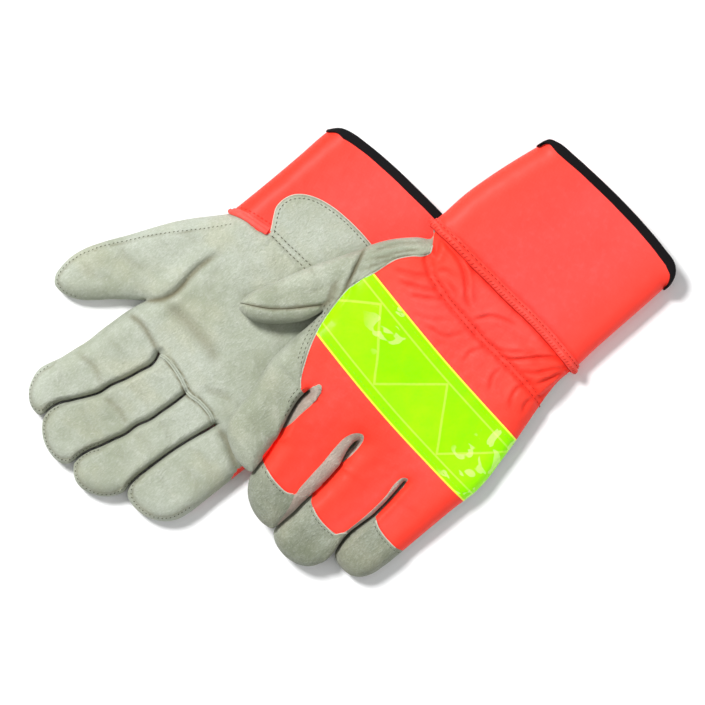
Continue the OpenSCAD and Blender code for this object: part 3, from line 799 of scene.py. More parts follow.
# Outline round the hand, clockwise from the cuff: little, ring, middle and index finger,
# thumb, and the cuff's thumb side
RIGHT_EDGES = lines("""
-57.5,-127 -58,-110 -57.5,-80 -56.5,-55 -56,-42 -57.5,-25 -60,-5 -61.5,20 -62,45 -61.5,65
-61,85 -60.6,97 -59.5,104 -57.5,109 -54,113.5 -49,117.5 -43,120 -35,121 -30,120.2
-26.9,117.8 -25.2,114 -24.7,109 -24.6,104 -24.9,97 -26.3,78 -28.3,65 -29.9,57 -30.3,52.5

-30.0,52.3 -29.3,56 -27.6,65 -25.6,78 -24.2,97 -23.9,104 -24.0,110 -24.9,115.5 -25.9,119
-25,123 -20,131 -14,135.5 -7,138 -2,137.6 3,135 6.2,131.8 7.0,128 6.2,120 3.7,112 1.7,104
-0.3,97 -0.9,88 -3.3,79.5 -3.9,72 -4.8,62 -4.9,54

-4.5,53.8 -4.1,62 -3.2,72 -2.6,79.5 -0.2,88 0.4,97 2.4,104 4.4,112 6.9,120 7.8,126 7.6,130
8.2,134 10.5,137 15,138.6 22,138.6 28,137 34,133.5 38.3,129 40.3,124 39.7,117 35.7,108
31.7,100 28.7,93 27.6,85 24.7,75 22.7,65 21.3,58 21.9,54.3 23.6,50.6

24.2,50.4 22.6,54.4 22.1,58 23.4,65 25.4,75 28.3,85 29.3,93 32.3,100 36.3,108 40.2,116
41,122 40.6,126.5 42,129.2 45,129.8 49,129.4 55,126.3 59,122 61.5,117 62.9,111.5 61.7,104
60,98 58.5,88 57.1,78 56.9,68 56.4,60 55.9,52 55,45 54,40 53.2,36.6

53.9,36.4 56,38.8 60,43.3 66,50 72,58 78,65 84,69.5 90,71.8 96,71.5 99.5,68 101.3,62 102,53
100.5,44 96,32 90,19 84,5 78,-8 71,-20 65,-29 61.5,-34.5

61,-36.5 60.6,-60 60.6,-90 61,-109 60.9,-112.5""")
RIGHT_MOUTH = points("""60.9,-113 57,-118 50,-121.5 40,-124 20,-127.5 0,-129.7 -22,-131.5
-40,-132 -52,-131 -56.5,-128.8 -57.5,-127.2""")

# Slits between little and ring, ring and middle, middle and index finger
RIGHT_SLITS = lines("""
-30.15,52.4 -29.6,56.5 -27.95,65 -25.95,78 -24.55,97 -24.25,104 -24.35,110 -25.0,114.7
-26.4,118.6 -27.5,125

-4.7,53.9 -4.45,62 -3.55,72 -2.95,79.5 -0.55,88 0.05,97 2.05,104 4.05,112 6.55,120 7.4,127
7.0,131.2 7.2,137

23.9,50.5 22.25,54.35 21.7,58 23.05,65 25.05,75 27.95,85 29.0,93 32.0,100 36.0,108
39.95,116.5 40.65,123 39.6,128 40.5,134""")

# Seams across the finger bases, round the thumb base and across the wrist
BASE_LITTLE = points("-66,56.5 -45,56.5 -36,55 -30.15,52.4")
BASE_RING = points("-30.15,52.4 -26,50.6 -15,50.1 -5,52")
BASE_MIDDLE = points("-5,52 0,50.5 10,48.7 18,48.7 23.9,50.5")
BASE_INDEX = points("23.9,50.5 35,48 45,47.2 53,49 57,50.5")
RIGHT_THUMB = points("53.55,36.5 49.8,30 48.9,20 48.7,8 49.2,-12 50.4,-25 51.4,-39.8")
RIGHT_WRIST = points("""-70,-46.4 0,-46.4 33,-46.2 37,-44.3 42,-41.7 51.4,-39.8 56,-38.1
61.4,-35 70,-35""")

# Areas of the digits and the cuff, carried past the outline
RIGHT_AREAS = {
    "little": join(BASE_LITTLE, RIGHT_SLITS[0], "-27.5,160 -90,160 -90,57"),
    "ring": join(BASE_RING, RIGHT_SLITS[1], "7.2,160 -27.5,160", RIGHT_SLITS[0][::-1]),
    "middle": join(BASE_MIDDLE, RIGHT_SLITS[2], "40.5,160 7.2,160", RIGHT_SLITS[1][::-1]),
    "index": join(BASE_INDEX, """57.5,60 58,70 58.4,80 60,92 62.4,100 65,111 75,140 75,160
                  40.5,160""", RIGHT_SLITS[2][::-1]),
    "thumb": join(RIGHT_THUMB, """56,-38.1 61.4,-35 75,-35 120,-35 120,90 75,90 62,60 57,48
                  54.7,40.5"""),
    "cuff": join(RIGHT_WRIST, "75,-35 75,-150 -80,-150"),
}
# Fingertip seams on the palm side
RIGHT_TIPS = dict(zip(("little", "ring", "middle", "index", "thumb"), lines("""
-61.5,86 -57.6,94 -56.4,102 -54.2,108.5 -50,113.3 -44,116.4 -37,117.5 -30.5,116.4 -27.2,112
-26.3,104 -24,98

-23.9,99 -22.6,106 -22.8,113 -23.0,120 -21.5,125 -18,130 -12,133.5 -4,134.9 1.5,133
4.4,128.5 4.2,121 1.2,113 1.4,105

2.1,103 6.2,111 8.9,119 10.0,126 10.2,131 12.5,134.4 17,135.8 23,135.8 28.5,133.8
33.5,130.5 36.6,126.5 37.6,121 36.4,115 34.8,107

36.6,108.5 40.6,114 43.2,120 43.4,125.2 46,127.3 50,126.9 54.3,124.2 57.6,120 59.4,115.5
60,110 59.0,103 62,97

76,63 80.5,64.6 86,68 91,69.3 95.3,68.6 97.6,65.2 98.8,60 98.9,54 97.2,45.5 94,36 87.5,23.5
80,9 72.5,-3 64.5,-15 58,-25.5 52,-36""")))
RIGHT_TIP_LINES = {name: smooth(RIGHT_TIPS[name]) for name in FINGERS + ("index",)}

# Leather tab hanging from the wrist over the cuff
TAB = smooth(points("""36,-46.6 38,-49.5 42,-54.5 45.3,-59.5 46,-65 44.2,-72 40,-77 34,-81
25,-84.5 12,-87 0,-88 -8,-88 -20,-87.3 -32,-84 -40,-78 -44,-70 -44,-62 -41,-54
-37,-46.6"""), 1.3)
TAB_AREA = join(TAB, "-37,-40 36,-40")
TAB_STITCH = points("34.6,-46.2 20,-47.4 6,-48.9 -30,-51 -36,-51.4")
CUFF_STITCH = points("36.4,-49.4 20,-51 4.2,-52.9 -30,-55 -38,-55.4")

# ------------------------------------------------------------------ right glove: surface


def right_section(places):
    x, y = places.T
    return blended(
        (8.6, 11.6, 8.5, 14.0),
        (ease(y, 40, 70), (7.6, 10.6, 7.2, 10.4)),                             # fingers
        (ease(-y, 34, 52), (8.6, 10.6, 7.9, 13.0)),                            # cuff
        (ease(x - 49.0, 0, 12) * ease(y, -60, -20), (8.4, 9.4, 7.6, 11.0)))    # thumb


def right_relief(places, _, top):
    x, y = places.T
    height = 0.55 * layered_bumps(places, 26, 1, 3) + 0.16 * layered_bumps(places, 7, 4, 2)
    if not top:
        return height * 0.5
    height = height * (1 - 0.45 * ease(-y, 44, 52))
    # the leather tab stands above the cuff
    on_tab = inside(places, TAB_AREA) & (y < -46.0)
    height = height + np.where(on_tab, 1.25 * dome(distance(places, TAB), 0.8), 0)
    # short puckers across the wrist stitching
    band = np.exp(-((y + 43) / 9.0) ** 2) * (1 - ease(x, 30, 44))
    height = height + 0.45 * band * bumps(places, 3.6, 16, 9)
    # broad swell of the palm, and the hollow below it
    height = height + 1.0 * np.exp(-(((x - 10) / 34) ** 2 + ((y - 2) / 22) ** 2))
    return height - 0.9 * np.exp(-(((x + 6) / 40) ** 2 + ((y + 34) / 9) ** 2))


right = Glove("right", RIGHT_EDGES, RIGHT_MOUTH, RIGHT_SLITS, right_section, right_relief,
              ("orange_cuff_right", "palm_leather", "palm_leather"))

# Creases round the thumb base and beside the finger-base welt (below it, above it)
THUMB_CREASE = points("53.8,37.6 50.8,33.5 47.2,28 45.4,22 45.3,15 46.6,8")
WELT_BELOW = points("-30.2,51 -26,49.2 -15,48.6 -5,50.4 0,49 10,47.2 18,47.2 23,48.8")
WELT_ABOVE = points("-30.2,53.6 -26,52.0 -15,51.5 -5,53.4 0,52 10,50.2 18,50.2 22,51.6")
# Single folds: rise (negative for a groove), width, line
RIGHT_FOLDS = """
-1.7 4.5  -5,28 5,25.5 20,25 35,26 46,28
0.8 4.5  -8,36 6,33 20,33 36,34 48,36
0.6 5  -10,17 6,15 22,15 38,16
-1.1 3.2  -27,34 -20,37 -10,43
-1.4 2.4  24.5,50 35,47.8 45,46.9 54.5,49.5
-2.2 2.6  -61,60 -51,56 -42,52.6 -31,52.4
1.1 3.5  57,33 53.5,24 51.5,14 52,4 53,-6
0.9 4  44,40 41,30 40,18 41,6
-0.7 2.4  74,42 80,48 87,51 95,50
-0.8 2.8  66,22 73,27 82,28 89,25
-0.6 2.6  58,2 64,6 72,6 79,3
"""
# Soft wrinkles, each a groove with a ridge above it: amount, width, line
RIGHT_WRINKLES = """
0.5 2.2  -56,84 -46,82 -34,84
0.45 2.2  -56,72 -44,70 -31,72
0.35 2.0  -54,98 -43,99 -32,97
0.5 2.2  -22,92 -12,90 -3,92
0.5 2.4  -22,78 -14,76 -6,78
0.35 2.0  -20,106 -10,107 -2,105
0.55 2.4  3,92 13,90 25,92
0.5 2.4  1,76 11,74 21,76
0.35 2.0  8,108 18,109 30,106
0.55 2.4  31,88 42,85 55,87
0.5 2.4  28,70 40,67 54,69
0.35 2.0  38,104 48,103 57,101
0.5 3.5  -52,30 -40,34 -28,32
0.5 4.0  -50,8 -30,10 -10,6
0.6 4.5  -20,-10 0,-14 24,-10
0.5 3.5  10,-28 26,-24 42,-26
0.5 3.5  30,6 38,-4 42,-16
0.4 2.0  62,-12 68,-8 74,-8
0.4 2.6  -12,-36 4,-33 18,-37
0.5 2.2  55,-16 60,-10 66,-8
"""


def fold_right():
    for rise, width, line in fold_rows(RIGHT_FOLDS):
        right.fold(line, rise, width)
    right.fold(join("54,38", THUMB_CREASE[1:], "47.5,0 47.3,-8 46,-16"), -3.2, 2.2)
    for amount, width, line in fold_rows(RIGHT_WRINKLES):
        right.fold(line, -amount * 1.4, width)
        right.fold(line + [0, 3.0], amount * 0.8, width * 1.1)
    for line, shift in ((WELT_BELOW, -0.1), (WELT_ABOVE, 0.1)):
        right.fold(line, -0.9, 1.1, taper=False)
        right.crease_shade(line + [0, shift], 0.7, 0.9)
    for line in RIGHT_TIPS.values():
        right.fold(line, -0.55, 0.8)
        right.crease_shade(line, 0.5, 0.42)
    right.crease_shade(points("-61,60 -51,56 -42,52.6 -33,52.4"), 1.6, 0.45)
    right.crease_shade(THUMB_CREASE, 0.8, 0.9)
    right.crease_shade(RIGHT_WRIST[2:], 0.7, 0.6)
    right.crease_shade(TAB[1:-1], 0.6, 0.75)
    for line in (TAB_STITCH, CUFF_STITCH):
        right.crease_shade(line[:-1], 0.7, 0.35)


fold_right()

# ------------------------------------------------------------------ left glove: flat frame

# The left glove is modelled flat, then bent along x to follow this line of (x, z)
DRAPE = smooth(points("""-182,0.7 -165,0.5 -150,0.5 -130,2.4 -110,5.8 -90,10.4 -75,14.4
-62,18.0 -50,20.9 -40,22.2 -21,23.0 0,22.8 16,22.4 34,22.0"""), 0.5)
DRAPE_LENGTH = arc_length(DRAPE)
DRAPE_SLOPE = np.gradient(DRAPE, axis=0)
DRAPE_ANGLE = np.arctan2(DRAPE_SLOPE[:, 1], DRAPE_SLOPE[:, 0])
DRAPE_FLAT_X = -150 + DRAPE_LENGTH - np.interp(-150, DRAPE[:, 0], DRAPE_LENGTH)
TOP = 17.0    # height of the upper side above the drape line
EDGE = 8.0    # height of the outline above it


def flat_x(x, height=TOP):
    """The flat frame's x for an x on the table, at a height above the drape line."""
    return np.interp(x, DRAPE[:, 0] - height * np.sin(DRAPE_ANGLE), DRAPE_FLAT_X)


def flat(places, height=TOP):
    if isinstance(places, str):
        places = points(places)
    return np.column_stack([flat_x(places[:, 0], height), places[:, 1]])


def bend_left(verts, normals):
    """The flat glove bent to lie from the table up over the right glove."""
    x, y, z = verts.T
    base_x, base_z, angle = (np.interp(x, DRAPE_FLAT_X, values)
                             for values in (DRAPE[:, 0], DRAPE[:, 1], DRAPE_ANGLE))
    c, s = np.cos(angle), np.sin(angle)
    bent = np.stack([base_x - z * s, y, base_z + z * c], 1)
    turned = np.stack([normals[:, 0] * c - normals[:, 2] * s, normals[:, 1],
                       normals[:, 0] * s + normals[:, 2] * c], 1)
    return bent, turned


# ------------------------------------------------------------------ left glove: outline
# All tables of the left glove are places seen from above, before flattening.

# Outline in the same order as the right glove's
LEFT_EDGES = [flat(line, EDGE) for line in lines("""
-140,-206 -140.5,-190 -141,-165 -141.5,-148 -142.2,-137 -142,-130 -142,-122 -143.8,-112
-147,-100 -150.2,-89 -153.4,-78 -157,-63 -160.3,-48 -161,-39 -160.3,-28 -160,-10 -160,15
-159.6,30 -158.6,38 -155.8,44 -151,48 -144,49.2 -138,48.6 -135.2,47 -133.9,44 -132.2,39
-131.2,32 -131.4,25 -132,15 -131.4,5 -129.9,-5 -128.4,-12.4

-127.9,-12.6 -129.2,-5 -130.7,5 -131.3,15 -130.7,25 -130.5,32 -131.5,39 -133.3,45 -134.3,50
-134,56 -132,62 -127,67 -120,70 -112,70.6 -106,69.2 -102,66.6 -100.4,63.5 -99.9,58 -99.8,50
-98.8,40 -98.8,30 -97.8,20 -96.4,11 -94.6,5 -93.3,0.5 -92.9,-3.5 -91.8,-6.4

-91.2,-6.8 -90.3,-5.4 -90.4,-2.5 -91.6,1.6 -93.4,5.5 -95.6,11 -97.2,20 -98.2,30 -98.2,40
-99.2,50 -99.4,58 -99.2,63 -98,66 -95,67.5 -88,68 -80,66.2 -74,63 -69.5,58.5 -66.8,54
-65.3,49.5 -63.3,40 -60.3,30 -57.3,22 -53.3,12 -50.8,3 -50.3,-4

-49.8,-4 -50.1,3 -52.7,12 -56.7,22 -59.7,30 -62.7,40 -64.5,48 -65.3,51.6 -64,53.8 -60,54.9
-55,55 -48,53.5 -40,50 -34,44 -31.5,36 -29.5,25 -25,10 -22.2,0 -21,-15 -21,-30 -20.5,-39

-19.9,-40.2 -17.4,-29.6 -11,-18.8 -3.2,-9.8 3.6,-4.8 10,-3.4 14.4,-4.8 16,-10 15.5,-17
12,-28 9,-40 5,-52 1,-63 -3,-73 -6,-80 -8.3,-88 -12.3,-97 -18,-106 -23,-112.3 -27,-115.6

-28.2,-117.2 -27.6,-119.8 -24.5,-121.8 -22.4,-124.5 -21.5,-135 -21,-150 -22,-165 -24,-182
-26,-195 -27,-201""")]
LEFT_MOUTH = flat("""-27,-202 -28,-207 -33,-210 -45,-212.5 -60,-215 -80,-217.5 -100,-219
-120,-219.2 -132,-218 -137,-214 -139.6,-209 -140,-206.5""", EDGE)

# Orange back of the hand, clockwise from its little-finger corner by the wrist
ORANGE = flat("""
-190,-131.5 -190,14.5 -160,14.5 -157,16 -150,17 -144,17 -138,16 -134,14 -133,5 -131.6,-5
-130.4,-12 -128.4,-15.3 -126,-13.6 -125.4,-8 -127.5,0 -129,15 -129,25 -128,35 -126,38.5
-120,39.7 -114,40 -107,39 -102.5,37 -101,34 -100,20 -98,10 -97,0 -96,-6 -94,-10 -91,-11.8
-87.6,-9.6 -85.3,-4 -86,5 -88,15 -89.5,27 -91,37 -92,41.5 -88,44.3 -80,45.4 -73,45
-67,43.6 -63.5,42 -62,35 -60,25 -58,10 -57,-4 -55.2,-9.5 -52,-12 -50.2,-8.5 -49.6,-1
-46,-1.5 -42,-5 -37,-12 -32,-20 -28,-28 -25,-36 -21.2,-50 -19.7,-60 -20.5,-70 -22,-78
-25,-95 -29,-102 -33,-107 -34.2,-111 -32,-115 -29,-118.5 -26,-122.5 -50,-125 -80,-127.5
-110,-131 -143,-131.5""")
# Its border is smoothed in spans that meet at these points
ORANGE_BREAKS = (1, 7, 18, 24, 38, 44, 51, 70)
ORANGE_LINES = [smooth(ORANGE[a:b + 1]) for a, b in zip(ORANGE_BREAKS, ORANGE_BREAKS[1:])]
ORANGE_AREA = np.vstack([line[:-1] for line in ORANGE_LINES] + [
    [ORANGE[70]], [(flat_x(-50), -140), (flat_x(-143), -140), (-190, -140)]])
# Border beside the index finger and thumb, and the borders of the fingertip caps
ORANGE_SIDE = ORANGE[48:67]
CAPS = {
    "little": join(ORANGE[1:8], flat("-130.5,11")),
    "ring": join(flat("-133,30"), ORANGE[17:24], flat("-96.5,29")),
    "middle": join(flat("-99.5,36"), ORANGE[36:42], flat("-59,38")),
}
ORANGE_SIDE_LINE = smooth(ORANGE_SIDE)
CAP_LINES = {name: smooth(line) for name, line in CAPS.items()}

LEFT_WRIST = flat("-190,-134 -143,-134 -110,-133.6 -80,-130.4 -50,-127.6 -24,-125 0,-123.4")
LEFT_SLITS = [flat(line) for line in lines("""
-128.2,-12.9 -129.55,-5 -131.05,5 -131.65,15 -131.05,25 -130.85,32 -131.85,39 -133.6,45
-134.8,48.5 -137,56

-91,-6.4 -93,2 -96,10 -97.5,20 -98.5,30 -98.5,40 -99.5,50 -99.7,58 -99.8,63.5 -99.6,72

-50.05,-4 -50.45,3 -53,12 -57,22 -60,30 -63,40 -64.9,49 -66,53 -68,62""")]
LEFT_THUMB = flat("""-20.2,-39.6 -19.4,-48 -18.8,-57 -19.4,-70 -21.6,-82 -24.6,-93 -28.6,-104
-30.4,-111 -28.2,-116.6""", 12)

KNUCKLE_Y = -9.8    # straight seam under the four fingers


def left_areas():
    """Areas of the digits, carried past the outline to far_y."""
    far_y = 110
    first, second, third = LEFT_SLITS
    first_end, second_end, third_end = ((slit[-1][0], far_y) for slit in LEFT_SLITS)
    first_base, second_base, third_base = ((flat_x(x, EDGE), KNUCKLE_Y)
                                           for x in (-128.3, -91, -50.05))
    shifted = (first_base[0] - 0.4, KNUCKLE_Y)
    index_x = flat_x(-12)
    return {
        "little": join([(-190, KNUCKLE_Y), shifted], first[1:], [first_end, (-190, far_y)]),
        "ring": join([shifted, second_base], second, [second_end, first_end], first[1:][::-1]),
        "middle": join([second_base, third_base], third, [third_end, second_end],
                       second[::-1]),
        "index": join([third_base, (index_x, KNUCKLE_Y), (index_x, far_y), third_end],
                      third[::-1]),
        "thumb": join(LEFT_THUMB, flat("-20,-121 20,-121 40,20 -16,20 -19.2,-20")),
    }


LEFT_AREAS = left_areas()

TAPE_TOP = smooth(flat("-175,-33.5 -160,-32 -125,-29.5 -90,-28 -60,-28 -28,-29 -8,-30"), 1.4)
TAPE_BOTTOM = smooth(flat("-175,-81 -153,-80 -120,-78.5 -90,-77.5 -50,-77.5 -22,-78 -8,-78"), 1.4)
TAPE_AREA = np.vstack([TAPE_TOP, TAPE_BOTTOM[::-1]])
TAPE_GROOVE_TOP = flat("-160,-36.2 -125,-33.6 -90,-32.2 -60,-32.2 -30,-33")
TAPE_GROOVE_BOTTOM = flat("-155,-76.4 -120,-75 -90,-74 -50,-74 -23,-74.6")
# Two rows of elastic stitching across the wrist
ELASTIC_TOP = flat("""-148,-103.5 -130,-104 -110,-102.5 -90,-100.5 -75,-100 -60,-100 -45,-102
-35,-107""")
ELASTIC_BOTTOM = ELASTIC_TOP - [0, 3.1]
# Strip between ring and middle fingertips
STRIP = smooth(flat("-91.6,41.4 -94.6,47 -97.4,54 -99.6,61"))
STRIP_AREA = join(STRIP, flat("-101.5,62 -101.5,38 -92,38"))
THUMB_SEAM = flat("15.2,-6.5 8.6,-11.5 1,-18 -6.8,-27.5 -12.4,-36 -16.8,-43 -18.6,-50")
THUMB_FOLD = flat("-7.0,-84.0 -10.5,-77.0 -14.5,-68.5 -18.0,-60.5")

# ------------------------------------------------------------------ left glove: surface


def left_section(places):
    x, y = places.T
    return blended(
        (8.4, 11.2, 8.2, 13.0),
        (ease(y, -22, 10), (7.6, 10.8, 7.2, 10.2)),                              # fingers
        (ease(-y, 118, 138), (8.8, 9.6, 8.0, 12.5)),                             # cuff
        (ease(x + 21.0, 0, 14) * ease(y, -125, -85), (8.0, 9.0, 7.4, 10.0)))     # thumb


def left_relief(places, _, top):
    x, y = places.T
    height = 0.55 * layered_bumps(places, 24, 2, 3) + 0.16 * layered_bumps(places, 7, 5, 2)
    if not top:
        return height * 0.6
    height = height * (1 - 0.5 * ease(-y, 128, 138))
    # gathers of the elastic: folds run along the hand and die away from it
    gap = distance(places, smooth(ELASTIC_TOP - [0, 1.5], 2.0))
    gathered = GATHER * (1 - ease(x, flat_x(-36), flat_x(-28)))
    leaning = places + np.stack([0.10 * (y + 102), 0 * y], 1)
    ripple = 1.25 * bumps(leaning, 3.4, 15, 6) + 0.5 * bumps(places, 1.9, 9, 8)
    height = height + gathered * np.exp(-(gap / 11.0) ** 1.3) * ripple * ease(gap, 0.0, 2.2)
    puff_below = np.exp(-((y + 117) / 8.0) ** 2) * (1.5 + 1.2 * bumps(places, 7.5, 14, 3))
    puff_above = np.exp(-((y + 91) / 7.5) ** 2) * (0.9 + 0.8 * bumps(places, 7.0, 12, 11))
    height = height + gathered * (puff_below + puff_above)
    # knuckle swell
    height = height + 0.9 * np.exp(-(((x + 88) / 50) ** 2 + ((y + 20) / 16) ** 2))
    # overlapping leather edges
    orange = inside(places, ORANGE_AREA)
    beside = (~orange) & (y < KNUCKLE_Y + 8) & (x > flat_x(-60)) & (y > -124)
    rise = np.where(beside, 1.0 * dome(distance(places, ORANGE_SIDE_LINE), 0.8), 0.0)
    for name, line in CAP_LINES.items():
        beyond = (~orange) & inside(places, LEFT_AREAS[name]) & beyond_line(places, line)
        rise = np.where(beyond, 0.9 * dome(distance(places, line), 0.8), rise)
    # tape sits on the cloth
    gap = np.minimum(distance(places, TAPE_TOP), distance(places, TAPE_BOTTOM))
    on_tape = inside(places, TAPE_AREA) & orange
    return height + np.where(on_tape, 0.55 * np.clip(gap / 0.5, 0, 1), rise)


def beyond_line(places, line):
    """Places whose y is greater than the line's at the same x."""
    return places[:, 1] > np.interp(places[:, 0], line[:, 0], line[:, 1])


left = Glove("left", LEFT_EDGES, LEFT_MOUTH, LEFT_SLITS, left_section, left_relief,
             ("orange_cuff", "pale_suede", "suede"))

# Soft wrinkles, each a groove with a ridge above it: depth, width, line
LEFT_WRINKLES = """
0.5 2.4  -158,-2 -148,-4 -136,-3
0.5 2.4  -126,12 -114,9 -101,11
0.6 2.6  -88,14 -74,11 -60,14
0.4 2.0  -156,30 -146,33 -137,31
0.5 2.2  -126,52 -116,55 -105,52
0.5 2.2  -94,54 -84,57 -73,53
0.5 2.3  -56,36 -46,33 -35,34
0.6 2.6  -49,14 -40,11 -28,13
0.6 2.4  -44,-8 -34,-12 -24,-12
0.5 3.0  -150,-18 -130,-21 -108,-18
0.5 3.0  -100,-17 -80,-20 -58,-16
0.4 1.8  -2,-22 4,-27 10,-26
0.5 2.2  -10,-44 -4,-50 3,-52
0.5 2.0  -15,-84 -12,-78 -8,-76
0.6 2.6  -24,-62 -16,-72 -12,-84
0.6 2.8  -140,-88 -124,-92 -104,-90
0.5 2.8  -96,-86 -76,-90 -54,-87
0.8 3.0  -136,-116 -118,-120 -96,-117
0.7 3.0  -90,-112 -72,-116 -48,-113
0.6 2.0  -44,-118 -36,-114 -30,-112
0.35 5.0  -138,-158 -120,-162 -96,-158
0.35 5.0  -80,-178 -60,-182 -36,-178
0.3 5.0  -128,-192 -110,-195 -92,-192
"""
# Gathers of the wrist: depth, width, line
WRIST_GATHERS = """
1.6 1.6  -31,-122 -35,-116 -39,-109.5
1.9 1.5  -30,-122 -39.5,-121.5 -51,-121 -60.5,-116.5 -68.5,-110 -76,-107
1.2 1.4  -79.5,-104 -82,-109.5 -86,-115.5 -94,-121 -100,-123.5
0.7 1.3  -85,-106 -87.5,-102 -92,-100
1.0 1.4  -99.5,-104.5 -105.5,-107 -114,-115.5 -121.5,-125
2.0 1.4  -107.5,-104 -113.5,-108.5 -120.5,-118 -128.5,-127.5 -136.5,-134
1.3 1.4  -122,-107.5 -128.5,-113.5 -134,-122.5 -139,-132
1.5 1.3  -133.5,-107.5 -136,-115 -140,-129.5
1.6 1.3  -142,-104 -142.5,-115.5 -142,-130.5
0.9 1.5  -53.5,-108 -61,-107.5 -65,-105
0.8 1.4  -44.5,-106.5 -49,-112 -53.5,-112.5
0.9 1.5  -27.5,-88.5 -35.5,-93.5 -44,-102.5 -45,-105
1.1 1.4  -35,-86 -43,-91 -51.5,-98 -54,-101.5
1.0 1.5  -45,-85.5 -53,-92.5 -60,-100.5
0.7 1.6  -55,-81 -64.5,-87 -72.5,-96
0.8 1.8  -64.5,-82 -77.5,-87.5 -83,-98.5
0.8 1.6  -95.5,-84.5 -94,-91.5 -96,-98 -97.5,-102
0.9 1.6  -119.5,-85.5 -114,-92.5 -112.5,-101
1.2 1.5  -136,-88.5 -130.5,-94 -129,-101.5 -131,-105.5
1.0 1.4  -142.5,-92 -139,-99 -140,-104
0.7 1.4  -160,-88 -152.5,-93 -148,-99
"""
# Twisted leather between thumb and wrist, and folds of the thumb: depth, width, line
THUMB_FOLDS = """
2.4 1.1  -7,-84 -10.5,-77 -14.5,-68.5 -18.5,-59.5 -21,-54
0.8 1.0  -11.5,-84.5 -14.5,-93 -20,-103 -28,-113
1.0 1.0  -14.5,-80.5 -19,-89.5 -23.5,-100 -30,-108.5
0.9 1.0  -16.5,-74 -19,-82 -23,-92 -29.5,-103.5
0.5 0.9  -12.5,-88 -15.5,-95.5 -19,-101
1.1 1.1  -18,-64 -22,-55.5 -23,-48 -25,-39 -26.5,-33
0.5 1.8  -6.5,-73 -5,-63 0.5,-53
0.6 1.8  -11,-58 -9.5,-47.5 -4.5,-38.5
0.8 1.5  -17,-47 -13.5,-52.5 -11.5,-60
0.6 1.8  2,-36 6,-30 12,-27
0.7 1.8  -4,-56 1,-52 6,-50
"""


def fold_left():
    left.fold(ELASTIC_TOP, -1.3, 1.5, taper=False)
    left.fold(ELASTIC_BOTTOM, -1.1, 1.4, taper=False)
    left.fold(TAPE_GROOVE_TOP, -0.25, 0.7, taper=False)
    left.fold(TAPE_GROOVE_BOTTOM, -0.25, 0.7, taper=False)
    left.fold(flat("-19,-41 -17,-50 -13,-58"), -1.2, 2.4)
    for depth, width, line in fold_rows(LEFT_WRINKLES):
        line = flat(line)
        left.fold(line, -depth, width)
        left.fold(line + [0, 3.2], depth * 0.55, width * 1.1)
    left.crease_shade(ORANGE_SIDE[2:-2], 0.7, 0.55)
    for line in CAPS.values():
        left.crease_shade(line[1:-1] - [0, 0.5], 0.55, 0.55)
    left.crease_shade(ELASTIC_TOP, 0.9, 0.35)
    left.crease_shade(ELASTIC_BOTTOM, 0.9, 0.35)
    seam = LEFT_WRIST[1:-1]
    left.crease_shade(seam + [0, 3.2], 1.3, 0.9)
    left.crease_shade(seam - [0, 3.2], 0.8, 0.5)
    left.fold(seam + [0, 3.6], -1.5, 1.5, taper=False)
    left.fold(seam - [0, 3.6], -0.8, 1.2, taper=False)
    for depth, width, line in fold_rows(WRIST_GATHERS):
        line = flat(line)
        left.fold(line, -depth * 0.95, width * 1.05)
        left.fold(offset_line(line, 2.4), depth * 0.75, width * 1.2)
        left.fold(offset_line(line, -2.4), depth * 0.35, width * 1.2)
        left.crease_shade(line, 0.6, min(0.85, depth * 0.44))
    left.crease_shade(THUMB_SEAM, 0.55, 1.0)
    left.crease_shade(THUMB_SEAM[3:], 1.0, 0.9)
    left.fold(THUMB_SEAM, -1.3, 0.9, taper=False)
    left.crease_shade(THUMB_FOLD, 0.7, 0.95)
    left.crease_shade(flat("-18,-62 -20,-56 -20.6,-50"), 1.2, 0.7)
    for depth, width, line in fold_rows(THUMB_FOLDS):
        line = flat(line)
        left.fold(line, -depth, width)
        left.fold(offset_line(line, 1.9), depth * 0.45, width)
        left.fold(offset_line(line, -1.9), depth * 0.35, width)
        if depth > 0.75:
            left.crease_shade(line, 0.75, min(0.9, depth * 0.45))


fold_left()

# ------------------------------------------------------------------ cloth of the left wrist

CLOTH_SCALE = 0.01           # simulation units in a millimetre
CLOTH_GRID = 1.35
CLOTH_X = flat_x(-150), flat_x(-20)
CLOTH_Y = -133.5, -79.0
CLOTH_EXCESS = 1.25, 1.08    # cut size over sewn size, in x and y
CLOTH_FRAMES = 26
CLOTH_LIMIT = 2.6            # largest height it may add


def sewn_down(places, depth):
    """Whether each place of the wrist is sewn, and how far the sewing pulls it down."""
    gap = distance(places, smooth(ELASTIC_TOP - [0, 1.55], 1.5))
    row = np.abs(gap - 1.55) < 0.75
    held = row | (places[:, 1] > -80.5) | (distance(places, smooth(LEFT_WRIST, 1.5)) < 2.6)
    held |= (depth < 1.7) | ~(inside(places, ORANGE) | (places[:, 1] < -110))
    return held, np.where(row, 1.3, np.where(gap < 1.6, 0.9, 0.0))


